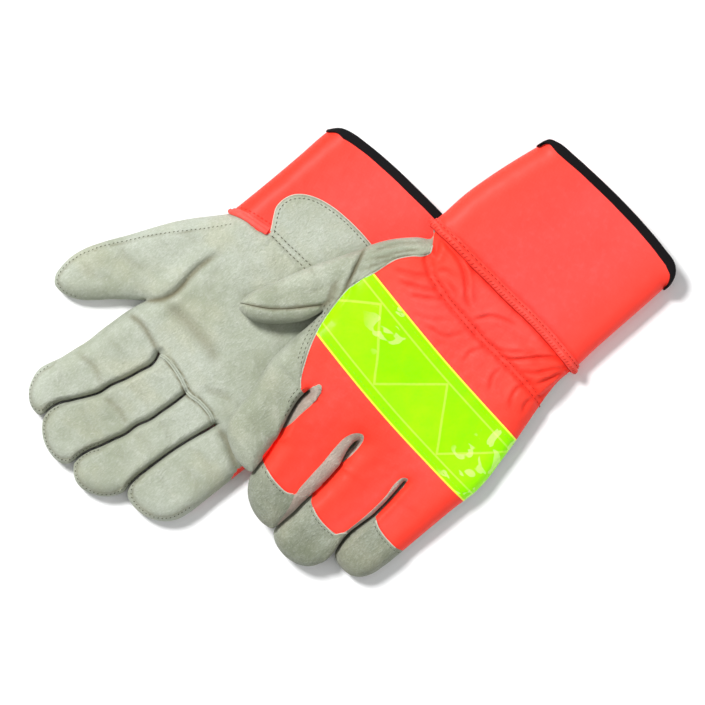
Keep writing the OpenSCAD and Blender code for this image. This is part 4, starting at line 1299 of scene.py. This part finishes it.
def settle(co, faces, held):
    """Simulates the sheet, cut too big for its place, and returns where it comes to rest."""
    mesh = bpy.data.meshes.new("cloth_sheet")
    mesh.from_pydata(co.tolist(), [], faces.tolist())
    ob = bpy.data.objects.new("cloth_sheet", mesh)
    bpy.context.scene.collection.objects.link(ob)
    ob.shape_key_add(name="Basis")
    cut_size = ob.shape_key_add(name="cut_size")
    centre = co.mean(0)
    big = co.copy()
    for axis in (0, 1):
        big[:, axis] = centre[axis] + (co[:, axis] - centre[axis]) * CLOTH_EXCESS[axis]
    cut_size.data.foreach_set("co", big.astype(np.float32).ravel())
    sewn = ob.vertex_groups.new(name="sewn")
    sewn.add([int(i) for i in np.where(held)[0]], 1.0, "REPLACE")
    modifier = ob.modifiers.new("cloth", "CLOTH")
    settings = modifier.settings
    settings.quality = 7
    settings.mass = 0.15
    settings.tension_stiffness = settings.compression_stiffness = 25
    settings.shear_stiffness = 6
    settings.bending_stiffness = 0.12
    settings.tension_damping = settings.compression_damping = 8
    settings.bending_damping = 0.6
    settings.air_damping = 2.0
    settings.use_pressure = True
    settings.uniform_pressure_force = 1.6
    settings.vertex_group_mass = "sewn"
    settings.rest_shape_key = cut_size
    settings.effector_weights.gravity = 0.0
    modifier.collision_settings.use_collision = False
    modifier.collision_settings.use_self_collision = False
    modifier.point_cache.frame_start, modifier.point_cache.frame_end = 1, CLOTH_FRAMES
    scene = bpy.context.scene
    for number in range(1, CLOTH_FRAMES + 1):
        scene.frame_set(number)
    result = ob.evaluated_get(bpy.context.evaluated_depsgraph_get())
    rest = np.empty(len(result.data.vertices) * 3, np.float32)
    result.data.vertices.foreach_get("co", rest)
    scene.frame_set(1)
    bpy.data.objects.remove(ob)
    bpy.data.meshes.remove(mesh)
    return rest.reshape(-1, 3)


def wrist_cloth():
    """Height the gathered cloth adds to the left glove's upper side, as a function of place."""
    xs, ys = (np.arange(low, high, CLOTH_GRID) for low, high in (CLOTH_X, CLOTH_Y))
    x, y = np.meshgrid(xs, ys)
    places = np.stack([x.ravel(), y.ravel()], 1)
    depth = left.depth(places)
    kept = inside(places, left.outline) & (depth > 0.8)
    middle, rise, _, width = left.section(places)
    flat_z = middle + rise * dome(depth, width)
    held, pull = sewn_down(places, depth)
    start_z = flat_z - pull + np.where(held, 0.0, 0.25 * bumps(places, 4.0, 12.0, 12))
    local = -np.ones(len(places), int)
    local[kept] = np.arange(kept.sum())
    grid = np.arange(len(places)).reshape(x.shape)
    quads = np.stack([grid[:-1, :-1], grid[:-1, 1:], grid[1:, 1:], grid[1:, :-1]], -1)
    quads = quads.reshape(-1, 4)
    quads = quads[kept[quads].all(1)]
    co = np.column_stack([places, start_z])[kept] * CLOTH_SCALE
    added = np.zeros(len(places))
    added[kept] = settle(co, local[quads], held[kept])[:, 2] / CLOTH_SCALE - flat_z[kept]
    added = np.clip(added, -CLOTH_LIMIT, CLOTH_LIMIT).reshape(x.shape)

    def height(where):
        u = np.clip((where[:, 0] - xs[0]) / CLOTH_GRID, 0, len(xs) - 1.001)
        v = np.clip((where[:, 1] - ys[0]) / CLOTH_GRID, 0, len(ys) - 1.001)
        i, j = u.astype(int), v.astype(int)
        u, v = u - i, v - j
        value = ((added[j, i] * (1 - u) + added[j, i + 1] * u) * (1 - v)
                 + (added[j + 1, i] * (1 - u) + added[j + 1, i + 1] * u) * v)
        for axis, line in enumerate((xs, ys)):
            value = (value * ease(where[:, axis], line[0], line[0] + 2)
                     * (1 - ease(where[:, axis], line[-1] - 2, line[-1])))
        return value
    return height


left.cloth = wrist_cloth()

# ------------------------------------------------------------------ cutting the sheets into panels

ORANGE_PANELS = ("back_panel", "little_back", "ring_back", "middle_back", "index_back#orange")
RIGHT_TAPE_HALF = 24.3                                        # on the right glove's underside
TAPE_REPEAT = 60.0                                            # length of one zigzag
RIGHT_CAP_Y = {"little": 96.6, "ring": 114.2, "middle": 114.6}  # fingertip seams underneath


def finish(glove, name):
    """A panel's outer material, inner material and thickness."""
    if name == "cuff_shell":
        return glove.cuff_material, "cuff_inside", 1.6
    if name == "reflective_tape":
        return "tape", "orange", 0.8
    if name in ORANGE_PANELS:
        return "orange", "lining", 1.2
    if "fourchette" in name:
        return "strip_leather", "leather_inside", 1.1
    if name == "cuff_leather_tab":
        return "palm_leather", "leather_inside", 1.2
    if name.endswith("fingertip"):
        return glove.tip_leather, "leather_inside", 1.3
    return glove.leather, "leather_inside", 1.3


def cut(glove, top_seams, bottom_seams, top_panels, bottom_panels, tape_place):
    """Makes the panels: each face goes to the first panel in the list that claims it."""
    top = glove.sheet(top_seams, TOP_SPACING, True)
    bottom = glove.sheet(bottom_seams, BOTTOM_SPACING, False)
    top_normals, bottom_normals = joined_normals(top, bottom)
    for (verts, faces, depth), normals, panels, is_top in (
            (top, top_normals, top_panels, True), (bottom, bottom_normals, bottom_panels, False)):
        centres = verts[faces][:, :, :2].mean(1)
        claims, rest = panels(centres, depth[faces].mean(1))
        names = np.full(len(centres), rest, dtype=object)
        for name, mask in reversed(claims):
            names[mask] = name
        places = verts[:, :2]
        data = np.zeros((len(verts), 4))
        # painted light on the orange cloth: 0 at the outline, where the border is painted shaded,
        # rising to 1 in the lit middle
        data[:, 0] = ease(depth, 2.0, 42.0)
        # painted shade amount for every vertex
        data[:, 3] = glove.painted_shade_amount(places, is_top)
        for name in sorted(set(names)):
            own = data.copy()
            if name == "reflective_tape":
                own[:, :2] = tape_place(places)
            shell(piece(glove.name + "_" + name.split("#")[0]), verts, faces[names == name],
                  normals, *finish(glove, name), own)


def fourchette(finger):
    """Name of the side strip panel of a finger."""
    return finger + ("_fourchette" if finger == "little" else "_fourchettes")


def past_tip(centres, name):
    """Beyond the fingertip seam: outside its curve and above its chord."""
    line = RIGHT_TIP_LINES[name]
    chord = np.vstack([line[0], line[-1]])
    return (~inside(centres, line)) & beyond_line(centres, chord)


def right_top(centres, depth):
    x, y = centres.T
    area = {name: inside(centres, polygon) for name, polygon in RIGHT_AREAS.items()}
    on_tab = inside(centres, TAB_AREA) | ((x > -37) & (x < 35.5) & (y > -49))
    wrapped = x < -61.4 + 2.0 * np.sin((y - 49.0) / 17.0 * math.pi)
    claims = [("cuff_leather_tab", area["cuff"] & on_tab), ("cuff_shell", area["cuff"]),
              ("back_panel", wrapped & (y > 49) & (y < 57.5)),
              ("little_back", wrapped & (y > 57.5) & (y < 66))]
    for name in FINGERS:
        claims += [(name + "_fingertip", area[name] & past_tip(centres, name)),
                   (name + "_front", area[name])]
    claims += [("index_back", area["index"] & past_tip(centres, "index")),
               ("index_front", area["index"]), ("thumb_front", area["thumb"])]
    return claims, "palm_panel"


def right_bottom(centres, depth):
    x, y = centres.T
    area = {name: inside(centres, polygon) for name, polygon in RIGHT_AREAS.items()}
    side = (depth < 4.5) | (right.slit_distance(centres) < 4.6)
    claims = [("cuff_shell", area["cuff"])]
    for name in FINGERS:
        claims += [(name + "_fingertip", area[name] & (y > RIGHT_CAP_Y[name])),
                   (fourchette(name), area[name] & side), (name + "_back", area[name])]
    claims += [("index_fourchette", area["index"] & side & (x < 42)),
               ("index_back", area["index"]), ("thumb_back", area["thumb"]),
               ("palm_panel", (depth < 8.0) & (x > 20) & (y > -44)),
               ("reflective_tape", np.abs(y) < RIGHT_TAPE_HALF)]
    return claims, "back_panel"


def left_masks(centres):
    """Digit areas of the left glove; beside a slit the finger with the nearest edge has it."""
    owner = -np.ones(len(centres), int)
    i = np.where((left.slit_distance(centres) < 2.6) & (centres[:, 1] > KNUCKLE_Y))[0]
    owner[i] = np.argmin([distance(centres[i], edge) for edge in left.edges[:4]], 0)
    area = {name: inside(centres, polygon) for name, polygon in LEFT_AREAS.items()}
    for number, name in enumerate(FINGERS + ("index",)):
        area[name] = np.where(owner >= 0, owner == number, area[name])
    below_wrist = centres[:, 1] < np.interp(centres[:, 0], LEFT_WRIST[:, 0], LEFT_WRIST[:, 1])
    return area, below_wrist


def left_top(centres, depth):
    area, below_wrist = left_masks(centres)
    orange = inside(centres, ORANGE_AREA)
    claims = [("cuff_shell", below_wrist),
              ("middle_fourchettes", area["middle"] & ~orange & inside(centres, STRIP_AREA)),
              ("reflective_tape", orange & inside(centres, TAPE_AREA))]
    for name in FINGERS:
        beyond = beyond_line(centres, CAP_LINES[name])
        claims += [(name + "_fingertip", area[name] & ~orange & beyond),
                   (name + "_back", area[name] & orange), (fourchette(name), area[name])]
    claims += [("index_back#orange", area["index"] & orange), ("index_back", area["index"]),
               ("back_panel", orange), ("thumb_back", area["thumb"])]
    return claims, "palm_panel"


def left_bottom(centres, depth):
    area, below_wrist = left_masks(centres)
    rim = depth < 3.2
    side = rim | (left.slit_distance(centres) < 3.2)
    claims = [("cuff_shell", below_wrist)]
    for name in FINGERS:
        beyond = beyond_line(centres, CAP_LINES[name])
        claims += [(name + "_fingertip", area[name] & beyond & rim),
                   (fourchette(name), area[name] & side), (name + "_front", area[name])]
    claims += [("index_fourchette", area["index"] & side & (centres[:, 0] < flat_x(-45))),
               ("index_front", area["index"]), ("thumb_front", area["thumb"])]
    return claims, "palm_panel"


def right_tape_place(places):
    return places / [TAPE_REPEAT, RIGHT_TAPE_HALF]


def left_tape_place(places):
    x, y = places.T
    high = np.interp(x, TAPE_TOP[:, 0], TAPE_TOP[:, 1])
    low = np.interp(x, TAPE_BOTTOM[:, 0], TAPE_BOTTOM[:, 1])
    return np.stack([(x - flat_x(-155)) / TAPE_REPEAT,
                     (y - (high + low) / 2) / ((high - low) / 2)], 1)


def cut_both():
    seams = [smooth(line) for line in (BASE_LITTLE, BASE_RING, BASE_MIDDLE, BASE_INDEX,
                                       RIGHT_THUMB, RIGHT_WRIST)]
    tape_edges = [np.array([(-70, y), (70, y)]) for y in (RIGHT_TAPE_HALF, -RIGHT_TAPE_HALF)]
    cut(right, seams + [TAB, smooth(THUMB_CREASE)] + list(RIGHT_TIP_LINES.values()),
        seams + tape_edges, right_top, right_bottom, right_tape_place)
    knuckles = np.array([(-190, KNUCKLE_Y), (flat_x(-14), KNUCKLE_Y)])
    seams = [resample(knuckles, 1.3), smooth(LEFT_THUMB), smooth(LEFT_WRIST)]
    details = [TAPE_TOP, TAPE_BOTTOM, STRIP, smooth(THUMB_SEAM[:-1]), smooth(THUMB_FOLD)]
    cut(left, seams + ORANGE_LINES + details + list(CAP_LINES.values()),
        seams, left_top, left_bottom, left_tape_place)


cut_both()

# ------------------------------------------------------------------ bindings and hems


def loop_round(glove, line, count):
    """Closed loop round the glove over a plan line from -x to +x: points, outward normals
    and directions along the glove."""
    line = resample(line, 0.25)
    along = arc_length(line)
    spread = (1 - np.cos(np.linspace(0, math.pi, count))) / 2
    places = sample(line, along / along[-1], spread)
    upper, lower = glove.surface(places), glove.surface(places, top=False)
    middle = glove.section(places)[0]
    for end in (0, -1):
        upper[end, 2] = lower[end, 2] = middle[end]
    loop = np.vstack([upper, lower[-2:0:-1]])
    tangent = unit(np.roll(loop, -1, 0) - np.roll(loop, 1, 0))
    forward = unit(np.array([[0, 1.0, 0]]) - tangent * tangent[:, 1:2])
    normal = np.cross(tangent, forward)
    if ((loop - loop.mean(0)) * normal).sum() < 0:
        normal = -normal
    normal -= forward * (normal * forward).sum(1)[:, None]
    return loop, unit(normal), forward


def sweep(target, loop, normal, forward, section, material, closed, jitter=0.0):
    """A section of (along the glove, outward) carried along the loop."""
    offset = np.array(section)[None].repeat(len(loop), 0) + jitter
    rings = (loop[:, None] + forward[:, None] * offset[:, :, :1]
             + normal[:, None] * offset[:, :, 1:])
    verts, faces, normals = skin(rings, closed)
    target.add(verts, faces, material, normals)


def wobble(seed, count, window):
    """Random values of -1 to 1, evened over a window."""
    values = np.random.RandomState(seed).uniform(-1, 1, count + window - 1)
    return np.convolve(values, np.ones(window) / window, "valid")


# Binding folded over the cuff's mouth: along the glove, outward
BINDING = points("""4.7,0.0 4.6,0.55 4.2,0.78 3.0,0.85 1.5,0.85 0.2,0.75 -0.6,0.25 -0.95,-0.7
-0.7,-1.7 0.1,-2.3 1.6,-2.5 3.6,-2.45 4.3,-2.2 4.4,-1.7 0.4,-1.6 0.3,-0.1""")
# Raised seam fold between hand and cuff: along the glove, outward
HEM = points("""-3.1,-0.8 -3.2,0.7 -2.8,1.45 -1.6,1.7 -0.7,1.75 -0.5,2.7 0.1,3.2 1.5,3.25
2.6,2.8 3.1,1.9 3.2,0.6 2.9,-0.8""")
HEM_COUNT = 100


def cuff_binding(glove):
    loop, normal, forward = loop_round(glove, glove.mouth[::-1], 110)
    jitter = np.zeros((len(loop), len(BINDING), 2))
    waver = wobble(seed=3, count=len(loop), window=9)
    jitter[:, :5, 0] += waver[:, None] * 0.35
    jitter[:, :, 1] += waver[::-1, None] * 0.12
    # thinner inside and shorter towards the two side edges
    x = loop[:, 0]
    from_side = np.minimum(x - x.min(), x.max() - x)
    thin = 0.35 + 0.65 * ease(from_side, 1.0, 9.0)
    short = 0.42 + 0.58 * ease(from_side, 0.0, 9.0)
    along, out = BINDING.T
    jitter[:, :, 1] += np.where(out < 0, out * (thin[:, None] - 1), 0)
    jitter[:, :, 0] += np.where(along > 1, along * (short[:, None] - 1), 0)
    sweep(piece(glove.name + "_cuff_binding"), loop, normal, forward, BINDING, "black_binding",
          True, jitter)


def left_hem():
    """Builds the left glove's seam fold and returns the parts of its upper half."""
    line = resample(smooth(LEFT_WRIST, 1.0), 0.5)
    loop, normal, forward = loop_round(left, line[inside(line, left.outline)], HEM_COUNT)
    waver = wobble(seed=5, count=len(loop), window=7)
    jitter = np.zeros((len(loop), len(HEM), 2))
    jitter[:, 1:-1, 1] += waver[:, None] * 0.5
    jitter[:, :, 0] += np.roll(waver, 9)[:, None] * 0.35
    sweep(piece("left_cuff_hem"), loop, normal, forward, HEM, "orange_hem", True, jitter)
    return [part[:HEM_COUNT] for part in (loop, normal, forward, jitter)]


def right_hem():
    """The same fold beside the right thumb on top, and all across underneath."""
    above = smooth(points("37.5,-46.0 43,-44.4 50,-42.6 56,-40.3 60.6,-37.6"), 1.0)
    below = resample(points("60.4,-40 58,-44 40,-46 -55,-46"), 1.5)
    path = np.vstack([right.surface(above), right.surface(below, top=False)])
    tangent = unit(np.gradient(path, axis=0))
    normal = np.vstack([right.normal(above, True), right.normal(below, False)])
    forward = unit(np.cross(normal, tangent))
    forward *= np.sign(forward[:, 1])[:, None]
    count = len(above)
    # parts of the path, share of the section's outward height, material
    for part, share, material in ((slice(None, count), 0.75, "orange_hem"),
                                  (slice(count, None), 0.18, "orange")):
        section = [(along * 0.78, out * (share if out > 0 else 1.0)) for along, out in HEM]
        sweep(piece("right_cuff_hem"), path[part], normal[part], forward[part], section,
              material, False)


cuff_binding(right)
cuff_binding(left)
HEM_PARTS = left_hem()
right_hem()

# ------------------------------------------------------------------ welts, linings and elastics


def cord(name, glove, line, lift, radius, material, sides=6, top=True):
    tube(piece(name), glove.surface(line, lift, top), radius, material, sides)


def finger_base_welts():
    """A doubled leather cord on the right glove, a single one under the left."""
    line = smooth(join(BASE_RING[:-1], BASE_MIDDLE), 0.9)[2:-2]
    for shift in (0.62, -0.62):
        cord("right_finger_base_welt", right, line + [0, shift], 0.32, 0.62, "palm_leather", 8)
    line = resample(points("-120,-12.6 -60,-12.6"), 1.2)
    cord("left_finger_base_welt", left, line, -0.05, 0.8, "suede", 8, top=False)


def span_at(glove, y, low, high):
    """Least and greatest outline x at y, kept within low and high."""
    found = []
    for edge in glove.edges:
        a, b = edge[:-1], edge[1:]
        hit = ((a[:, 1] - y) * (b[:, 1] - y) <= 0) & (a[:, 1] != b[:, 1])
        a, b = a[hit], b[hit]
        found.extend(a[:, 0] + (y - a[:, 1]) / (b[:, 1] - a[:, 1]) * (b[:, 0] - a[:, 0]))
    return max(min(found), low), min(max(found), high)


def hand_lining(glove, y_range, x_range, inset):
    """Soft tube inside the hand, closed towards the fingers by an end painted dark as shade."""
    rings = []
    spread = (1 - np.cos(np.linspace(0, math.pi, 26))) / 2
    for y in np.arange(*y_range, 4.0):
        start, end = span_at(glove, y, *x_range)
        start, end = start + inset + 0.6, end - inset - 0.6
        x = start + (end - start) * spread
        upper = glove.surface(np.stack([x, np.full_like(x, y)], 1), -inset)
        lower = glove.surface(upper[:, :2], inset, top=False)
        upper[:, 2] = np.maximum(upper[:, 2], (upper[:, 2] + lower[:, 2]) / 2 + 0.4)
        lower[:, 2] = np.minimum(lower[:, 2], upper[:, 2] - 0.8)
        rings.append(np.vstack([upper, lower[::-1]]))
    target = piece(glove.name + "_hand_lining")
    verts, faces, normals = skin(np.array(rings))
    target.add(verts, faces, "lining", normals)
    target.add(verts - normals * 0.9, faces[:, ::-1], "lining", -normals)
    end = np.vstack([rings[-1], rings[-1].mean(0)[None]])
    target.add(end, facing(end, fan(len(rings[-1])), (0, -1, 0)), "dark_hole")


def wrist_elastic(glove, y, x_range, lift, thickness):
    """Flat band inside the glove's upper side; lift and thickness are signed along z."""
    x = np.linspace(*x_range, 60)
    rows = []
    for shift in (-3.2, 3.2):
        places = np.stack([x, np.full_like(x, y + shift)], 1)
        rows.append(glove.surface(places, lift))
    verts = np.vstack(rows + [row + [0, 0, thickness] for row in rows])
    n = len(x)
    faces = []
    for i in range(n - 1):
        faces += [(i, i + 1, n + i + 1, n + i),
                  (2 * n + i, 3 * n + i, 3 * n + i + 1, 2 * n + i + 1),
                  (i, 2 * n + i, 2 * n + i + 1, i + 1),
                  (n + i, n + i + 1, 3 * n + i + 1, 3 * n + i)]
    faces += [(0, n, 3 * n, 2 * n), (n - 1, 3 * n - 1, 4 * n - 1, 2 * n - 1)]
    piece(glove.name + "_wrist_elastic").add(verts, np.array(faces), "elastic")


def right_wrist_elastic():
    """The right glove's band, inside its underside."""
    x = np.linspace(-46, 42, 60)
    rows = []
    for shift in (-3.2, 3.2):
        places = np.stack([x, np.full_like(x, -30.0 + shift)], 1)
        rows.append(right.surface(places, 2.6, top=False))
    return rows


finger_base_welts()
hand_lining(right, y_range=(-44, 46), x_range=(-70, 56), inset=2.6)
hand_lining(left, y_range=(-122, -14), x_range=(flat_x(-175), flat_x(-24)), inset=3.0)


def band(name, rows, thickness):
    """Flat elastic between two rows of points; thickness is signed along z."""
    verts = np.vstack(rows + [row + [0, 0, thickness] for row in rows])
    n = len(rows[0])
    faces = []
    for i in range(n - 1):
        faces += [(i, i + 1, n + i + 1, n + i),
                  (2 * n + i, 3 * n + i, 3 * n + i + 1, 2 * n + i + 1),
                  (i, 2 * n + i, 2 * n + i + 1, i + 1),
                  (n + i, n + i + 1, 3 * n + i + 1, 3 * n + i)]
    faces += [(0, n, 3 * n, 2 * n), (n - 1, 3 * n - 1, 4 * n - 1, 2 * n - 1)]
    piece(name).add(verts, np.array(faces), "elastic")


band("right_wrist_elastic", right_wrist_elastic(), 0.5)
wrist_elastic(left, -105.0, (flat_x(-138), flat_x(-40)), -4.6, -0.5)

# ------------------------------------------------------------------ stitches

WRIST_ROW = dict(pitch=2.9, length=1.9, radius=0.27)
FINE_ROW = dict(pitch=2.9, length=1.7, radius=0.2)


def stitches(name, glove, line, material, pitch=3.0, length=2.1, radius=0.34, lean=0.0):
    """A row of thread stitches on the upper side, each a little out of place."""
    line = resample(smooth(line, 0.8), pitch)
    centres = (line[:-1] + line[1:]) / 2
    along = unit(line[1:] - line[:-1])
    random = np.random.RandomState(len(line) * 7 + 1)
    centres = centres + random.uniform(-0.12, 0.12, centres.shape)
    kept = inside(centres, glove.outline)
    centres, along = centres[kept], along[kept]
    normal = glove.normal(centres, True)
    along = np.column_stack([along, np.zeros(len(along))])
    along = unit(along - normal * (along * normal).sum(1)[:, None])
    angle = (random.uniform(-0.08, 0.08, len(along)) + lean)[:, None]
    along = along * np.cos(angle) + np.cross(normal, along) * np.sin(angle)
    capsules(piece(name), glove.surface(centres) + normal * 0.12, along, length, radius,
             material, normal)


def stitch_right():
    stitches("right_stitching", right, TAB_STITCH, "thread_dark", **WRIST_ROW)
    cuff = "right_cuff_stitching"
    stitches(cuff, right, CUFF_STITCH, "thread_dark", **WRIST_ROW)
    stitches(cuff, right, offset_line(TAB, -2.2), "thread_dark", pitch=2.8, length=1.8,
             radius=0.25)
    cord("right_cuff_leather_tab", right, TAB[1:-1], 0.1, 0.42, "leather_edge")
    stitches(cuff, right, points("39,-50.6 45,-48.6 51,-46.8 57,-44.2 60,-42.5"),
             "thread_orange")
    for name in FINGERS + ("index",):
        target = "right_index_back" if name == "index" else "right_%s_fingertip" % name
        stitches(target, right, offset_line(RIGHT_TIPS[name], 1.0)[9:-9], "thread_dark",
                 pitch=2.5, length=1.2, radius=0.26, lean=0.5)
    stitches("right_thumb_front", right, offset_line(RIGHT_TIPS["thumb"], 0.9)[6:-4],
             "thread_dark", pitch=2.6, length=1.3, radius=0.22, lean=0.3)


def stitch_left():
    name = "left_stitching"
    for line in (ELASTIC_TOP[:-1], ELASTIC_BOTTOM[:-1]):
        stitches(name, left, line, "thread_orange", pitch=3.1, length=2.3, radius=0.34)
    for line in (TAPE_GROOVE_TOP + [0, 1.0], TAPE_GROOVE_BOTTOM - [0, 0.4]):
        stitches(name, left, line, "thread_lime", pitch=3.0, length=2.2, radius=0.2)
    for shift in (1.9, 4.2):
        line = offset_line(ORANGE_SIDE[1:-3], shift)
        line = line[(line[:, 1] < KNUCKLE_Y - 0.5) & (line[:, 1] > -48)]
        stitches(name, left, line, "thread_dark", **FINE_ROW)
    for finger, cap in CAPS.items():
        cut_off = 1 if finger == "little" else 2
        stitches("left_%s_fingertip" % finger, left, cap[cut_off:-cut_off] + [0, 2.0],
                 "thread_dark", pitch=2.9, length=1.8, radius=0.2)
    for line in ("-47.6,-3.5 -48.0,2 -50.2,9 -53,17", "-45.2,-3.5 -45.6,3 -47.9,10"):
        stitches("left_index_back", left, flat(line), "thread_dark", **FINE_ROW)


def left_edge_cords():
    """Cut edges of the leather beside the orange cloth, and a dark cord in the thumb seam that
    paints its shadow line.
    """
    for finger, cap in CAPS.items():
        line = smooth(cap, 0.9)
        line = line[inside(line, left.outline)]
        line = line[(left.depth(line) > 3.0) & inside(line, LEFT_AREAS[finger])
                    & ~inside(line, STRIP_AREA)][1:-1]
        cord("left_%s_fingertip" % finger, left, line + [0, 0.35], 0.08, 0.42, "leather_edge")
    line = smooth(ORANGE_SIDE[2:-2], 0.9)
    line = line[~inside(line, LEFT_AREAS["index"]) | (line[:, 0] > flat_x(-49.0))]
    cord("left_palm_panel", left, line, 0.1, 0.42, "leather_edge")
    # painted shadow: a thin dark cord along the thumb seam
    line = smooth(THUMB_SEAM[:-1], 0.9)
    cord("left_thumb_back", left, line[inside(line, left.outline)], 0.02, 0.27, "thread_dark")


def on_hem(corner, shift, lift, pitch):
    """Places along one corner of the hem's section: centres, normals, forwards, tangents."""
    loop, normal, forward, jitter = HEM_PARTS
    line = (loop + forward * (HEM[corner][0] + jitter[:, corner, :1] + shift)
            + normal * (HEM[corner][1] + jitter[:, corner, 1:] + lift))
    along = arc_length(line)
    wanted = np.arange(2.0, along[-1] - 2.0, pitch)
    centres, normal, forward = (sample(part, along, wanted) for part in (line, normal, forward))
    return centres, normal, forward, unit(np.gradient(centres, axis=0))


def stitch_hem():
    target = piece("left_cuff_stitching")
    centres, normal, _, along = on_hem(3, shift=0.0, lift=0.16, pitch=3.0)
    capsules(target, centres, along, 2.2, 0.30, "thread_orange", normal)
    # slanted overcasting stitches over the fold's crown
    centres, normal, forward, along = on_hem(7, shift=0.0, lift=0.10, pitch=2.3)
    slant = unit(forward * 0.9 + along * 0.42)
    capsules(target, centres, slant, 3.0, 0.24, "thread_orange", normal, arch=4.0)
    # a darker line at the fold's foot, thinner towards its ends
    centres, normal, _, along = on_hem(10, shift=0.2, lift=-0.35, pitch=1.5)
    count = len(centres)
    weight = 0.25 + 0.75 * np.clip(np.sin(np.linspace(0.1, 3.0, count)) * 1.6, 0, 1)
    for a, b in ((0, count // 5), (count // 5, 4 * count // 5), (4 * count // 5, count)):
        capsules(target, centres[a:b], along[a:b], 1.9, 0.34 * float(weight[a:b].mean()),
                 "seam_shadow", normal[a:b])


# Leather tab under the left cuff: its outline about TAB_CENTRE, and the sizes of its rings
TAB_CENTRE = (-84, -138)
LEFT_TAB = points("""-36,2 -42,-6 -43,-14 -40,-24 -32,-31 -20,-34.5 0,-36 20,-34.5 32,-31 40,-24
43,-14 42,-6 36,2""")
TAB_RINGS = (1.0, 0.985, 0.93, 0.86, 0.79, 0.72, 0.65, 0.58, 0.51, 0.44, 0.37, 0.3, 0.22, 0.14,
             0.07)


def left_tab():
    outline = smooth(LEFT_TAB + TAB_CENTRE, 2.0)
    centre = outline.mean(0)
    rings = [centre + (outline - centre) * size for size in TAB_RINGS] + [centre[None]]
    verts = [left.surface(ring, -0.1 if i == 0 else -1.5, top=False)
             for i, ring in enumerate(rings)]
    sides, count = len(outline), len(TAB_RINGS)
    quads = ring_faces(count, sides)[:, ::-1]
    middle = (fan(sides) + (count - 1) * sides)[:, ::-1]
    piece("left_cuff_leather_tab").add(np.vstack(verts), np.vstack([split(quads), middle]),
                                       "suede")


stitch_right()
left_edge_cords_after = stitch_left()
left_edge_cords()
stitch_hem()
left_tab()

# ------------------------------------------------------------------ objects and their bodies

# Hinge of each moving body on its hand: where the blend starts and where it ends
HINGES = {
    "right_little": ((-45, 57.5, 10), (-45, 72, 10)),
    "right_ring": ((-17, 51, 10), (-17, 66, 10)),
    "right_middle": ((9, 49, 10), (9, 65, 10)),
    "right_index": ((40, 48, 10), (42, 65, 10)),
    "right_thumb": ((56.5, 0, 10), (73, 1.3, 10)),
    "right_cuff": ((0, -44, 10), (0, -66, 10)),
    "left_thumb": ((-22, -72, 30), (-6, -75, 30)),
    "left_cuff": ((-84, -129, 10), (-84, -146, 10)),
}
for finger, x in (("little", -146), ("ring", -111), ("middle", -72), ("index", -39)):
    HINGES["left_" + finger] = ((x, KNUCKLE_Y, 10), (x, KNUCKLE_Y + 15, 10))


def build_objects():
    record = frame["record"]
    bodies = {node: body for body, nodes in record["behaviour"]["bodies"].items()
              for node in nodes}
    for name in sorted(PIECES):
        ob = PIECES[name].build(bend_left if name.startswith("left_") else None)
        body = bodies[name]
        if body in HINGES:
            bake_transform(ob)
        else:
            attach(ob, body)
        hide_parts(name)


build_objects()

# ------------------------------------------------------------------ stage, light and camera

FLOOR_HALF = 3
LIGHT_TARGET = (-0.045, -0.04, 0.0)
CAMERA_HEIGHT = 2.2
CAMERA_X, CAMERA_Y = -0.0499, -0.0384
VIEW_WIDTH = 0.423              # width of the picture at the table
SENSOR = 36.0                   # sensor width in millimetres
CAMERA_TURN = math.radians(50)  # direction of the picture's sides on the table


def make_floor():
    material = bpy.data.materials.new("floor_paint")
    material.use_nodes = True
    principled = material.node_tree.nodes["Principled BSDF"]
    principled.inputs["Base Color"].default_value = (0.95, 0.95, 0.95, 1)
    principled.inputs["Roughness"].default_value = 0.9
    mesh = bpy.data.meshes.new("floor")
    corners = [(x * FLOOR_HALF, y * FLOOR_HALF, 0) for x, y in ((-1, -1), (1, -1), (1, 1), (-1, 1))]
    mesh.from_pydata(corners, [], [(0, 1, 2, 3)])
    mesh.materials.append(material)
    floor = bpy.data.objects.new("floor", mesh)
    bpy.context.scene.collection.objects.link(floor)


def area_light(name, location, size, power):
    light = bpy.data.lights.new(name, "AREA")
    light.shape = "DISK"
    light.size = size
    light.energy = power
    ob = bpy.data.objects.new(name, light)
    ob.location = location
    aim = Vector(LIGHT_TARGET) - Vector(location)
    ob.rotation_euler = aim.to_track_quat("-Z", "Y").to_euler()
    bpy.context.scene.collection.objects.link(ob)


def make_world():
    world = bpy.data.worlds.new("studio")
    world.use_nodes = True
    background = world.node_tree.nodes["Background"]
    background.inputs["Color"].default_value = (0.96, 0.98, 1.0, 1)
    background.inputs["Strength"].default_value = 0.26
    bpy.context.scene.world = world
    bpy.context.scene.view_settings.view_transform = "Standard"


def make_camera():
    """Looks straight down."""
    data = bpy.data.cameras.new("cam")
    camera = bpy.data.objects.new("cam", data)
    bpy.context.scene.collection.objects.link(camera)
    data.sensor_width = SENSOR
    data.lens = SENSOR * CAMERA_HEIGHT / VIEW_WIDTH
    data.clip_end = 20.0
    c, s = math.cos(CAMERA_TURN), math.sin(CAMERA_TURN)
    side, up = Vector((-c, -s, 0)), Vector((s, -c, 0))
    turn = Matrix((side, up, side.cross(up))).transposed()
    place = Matrix.Translation((CAMERA_X, CAMERA_Y, CAMERA_HEIGHT))
    camera.matrix_world = place @ turn.to_4x4()
    bpy.context.scene.camera = camera


make_floor()
area_light("key", location=(1.80, 0.0, 2.66), size=0.80, power=114.0)
area_light("fill", location=(-0.9, -0.5, 1.3), size=1.2, power=4.0)
area_light("top", location=(0.0, 0.0, 1.9), size=1.2, power=4.5)
make_world()
make_camera()
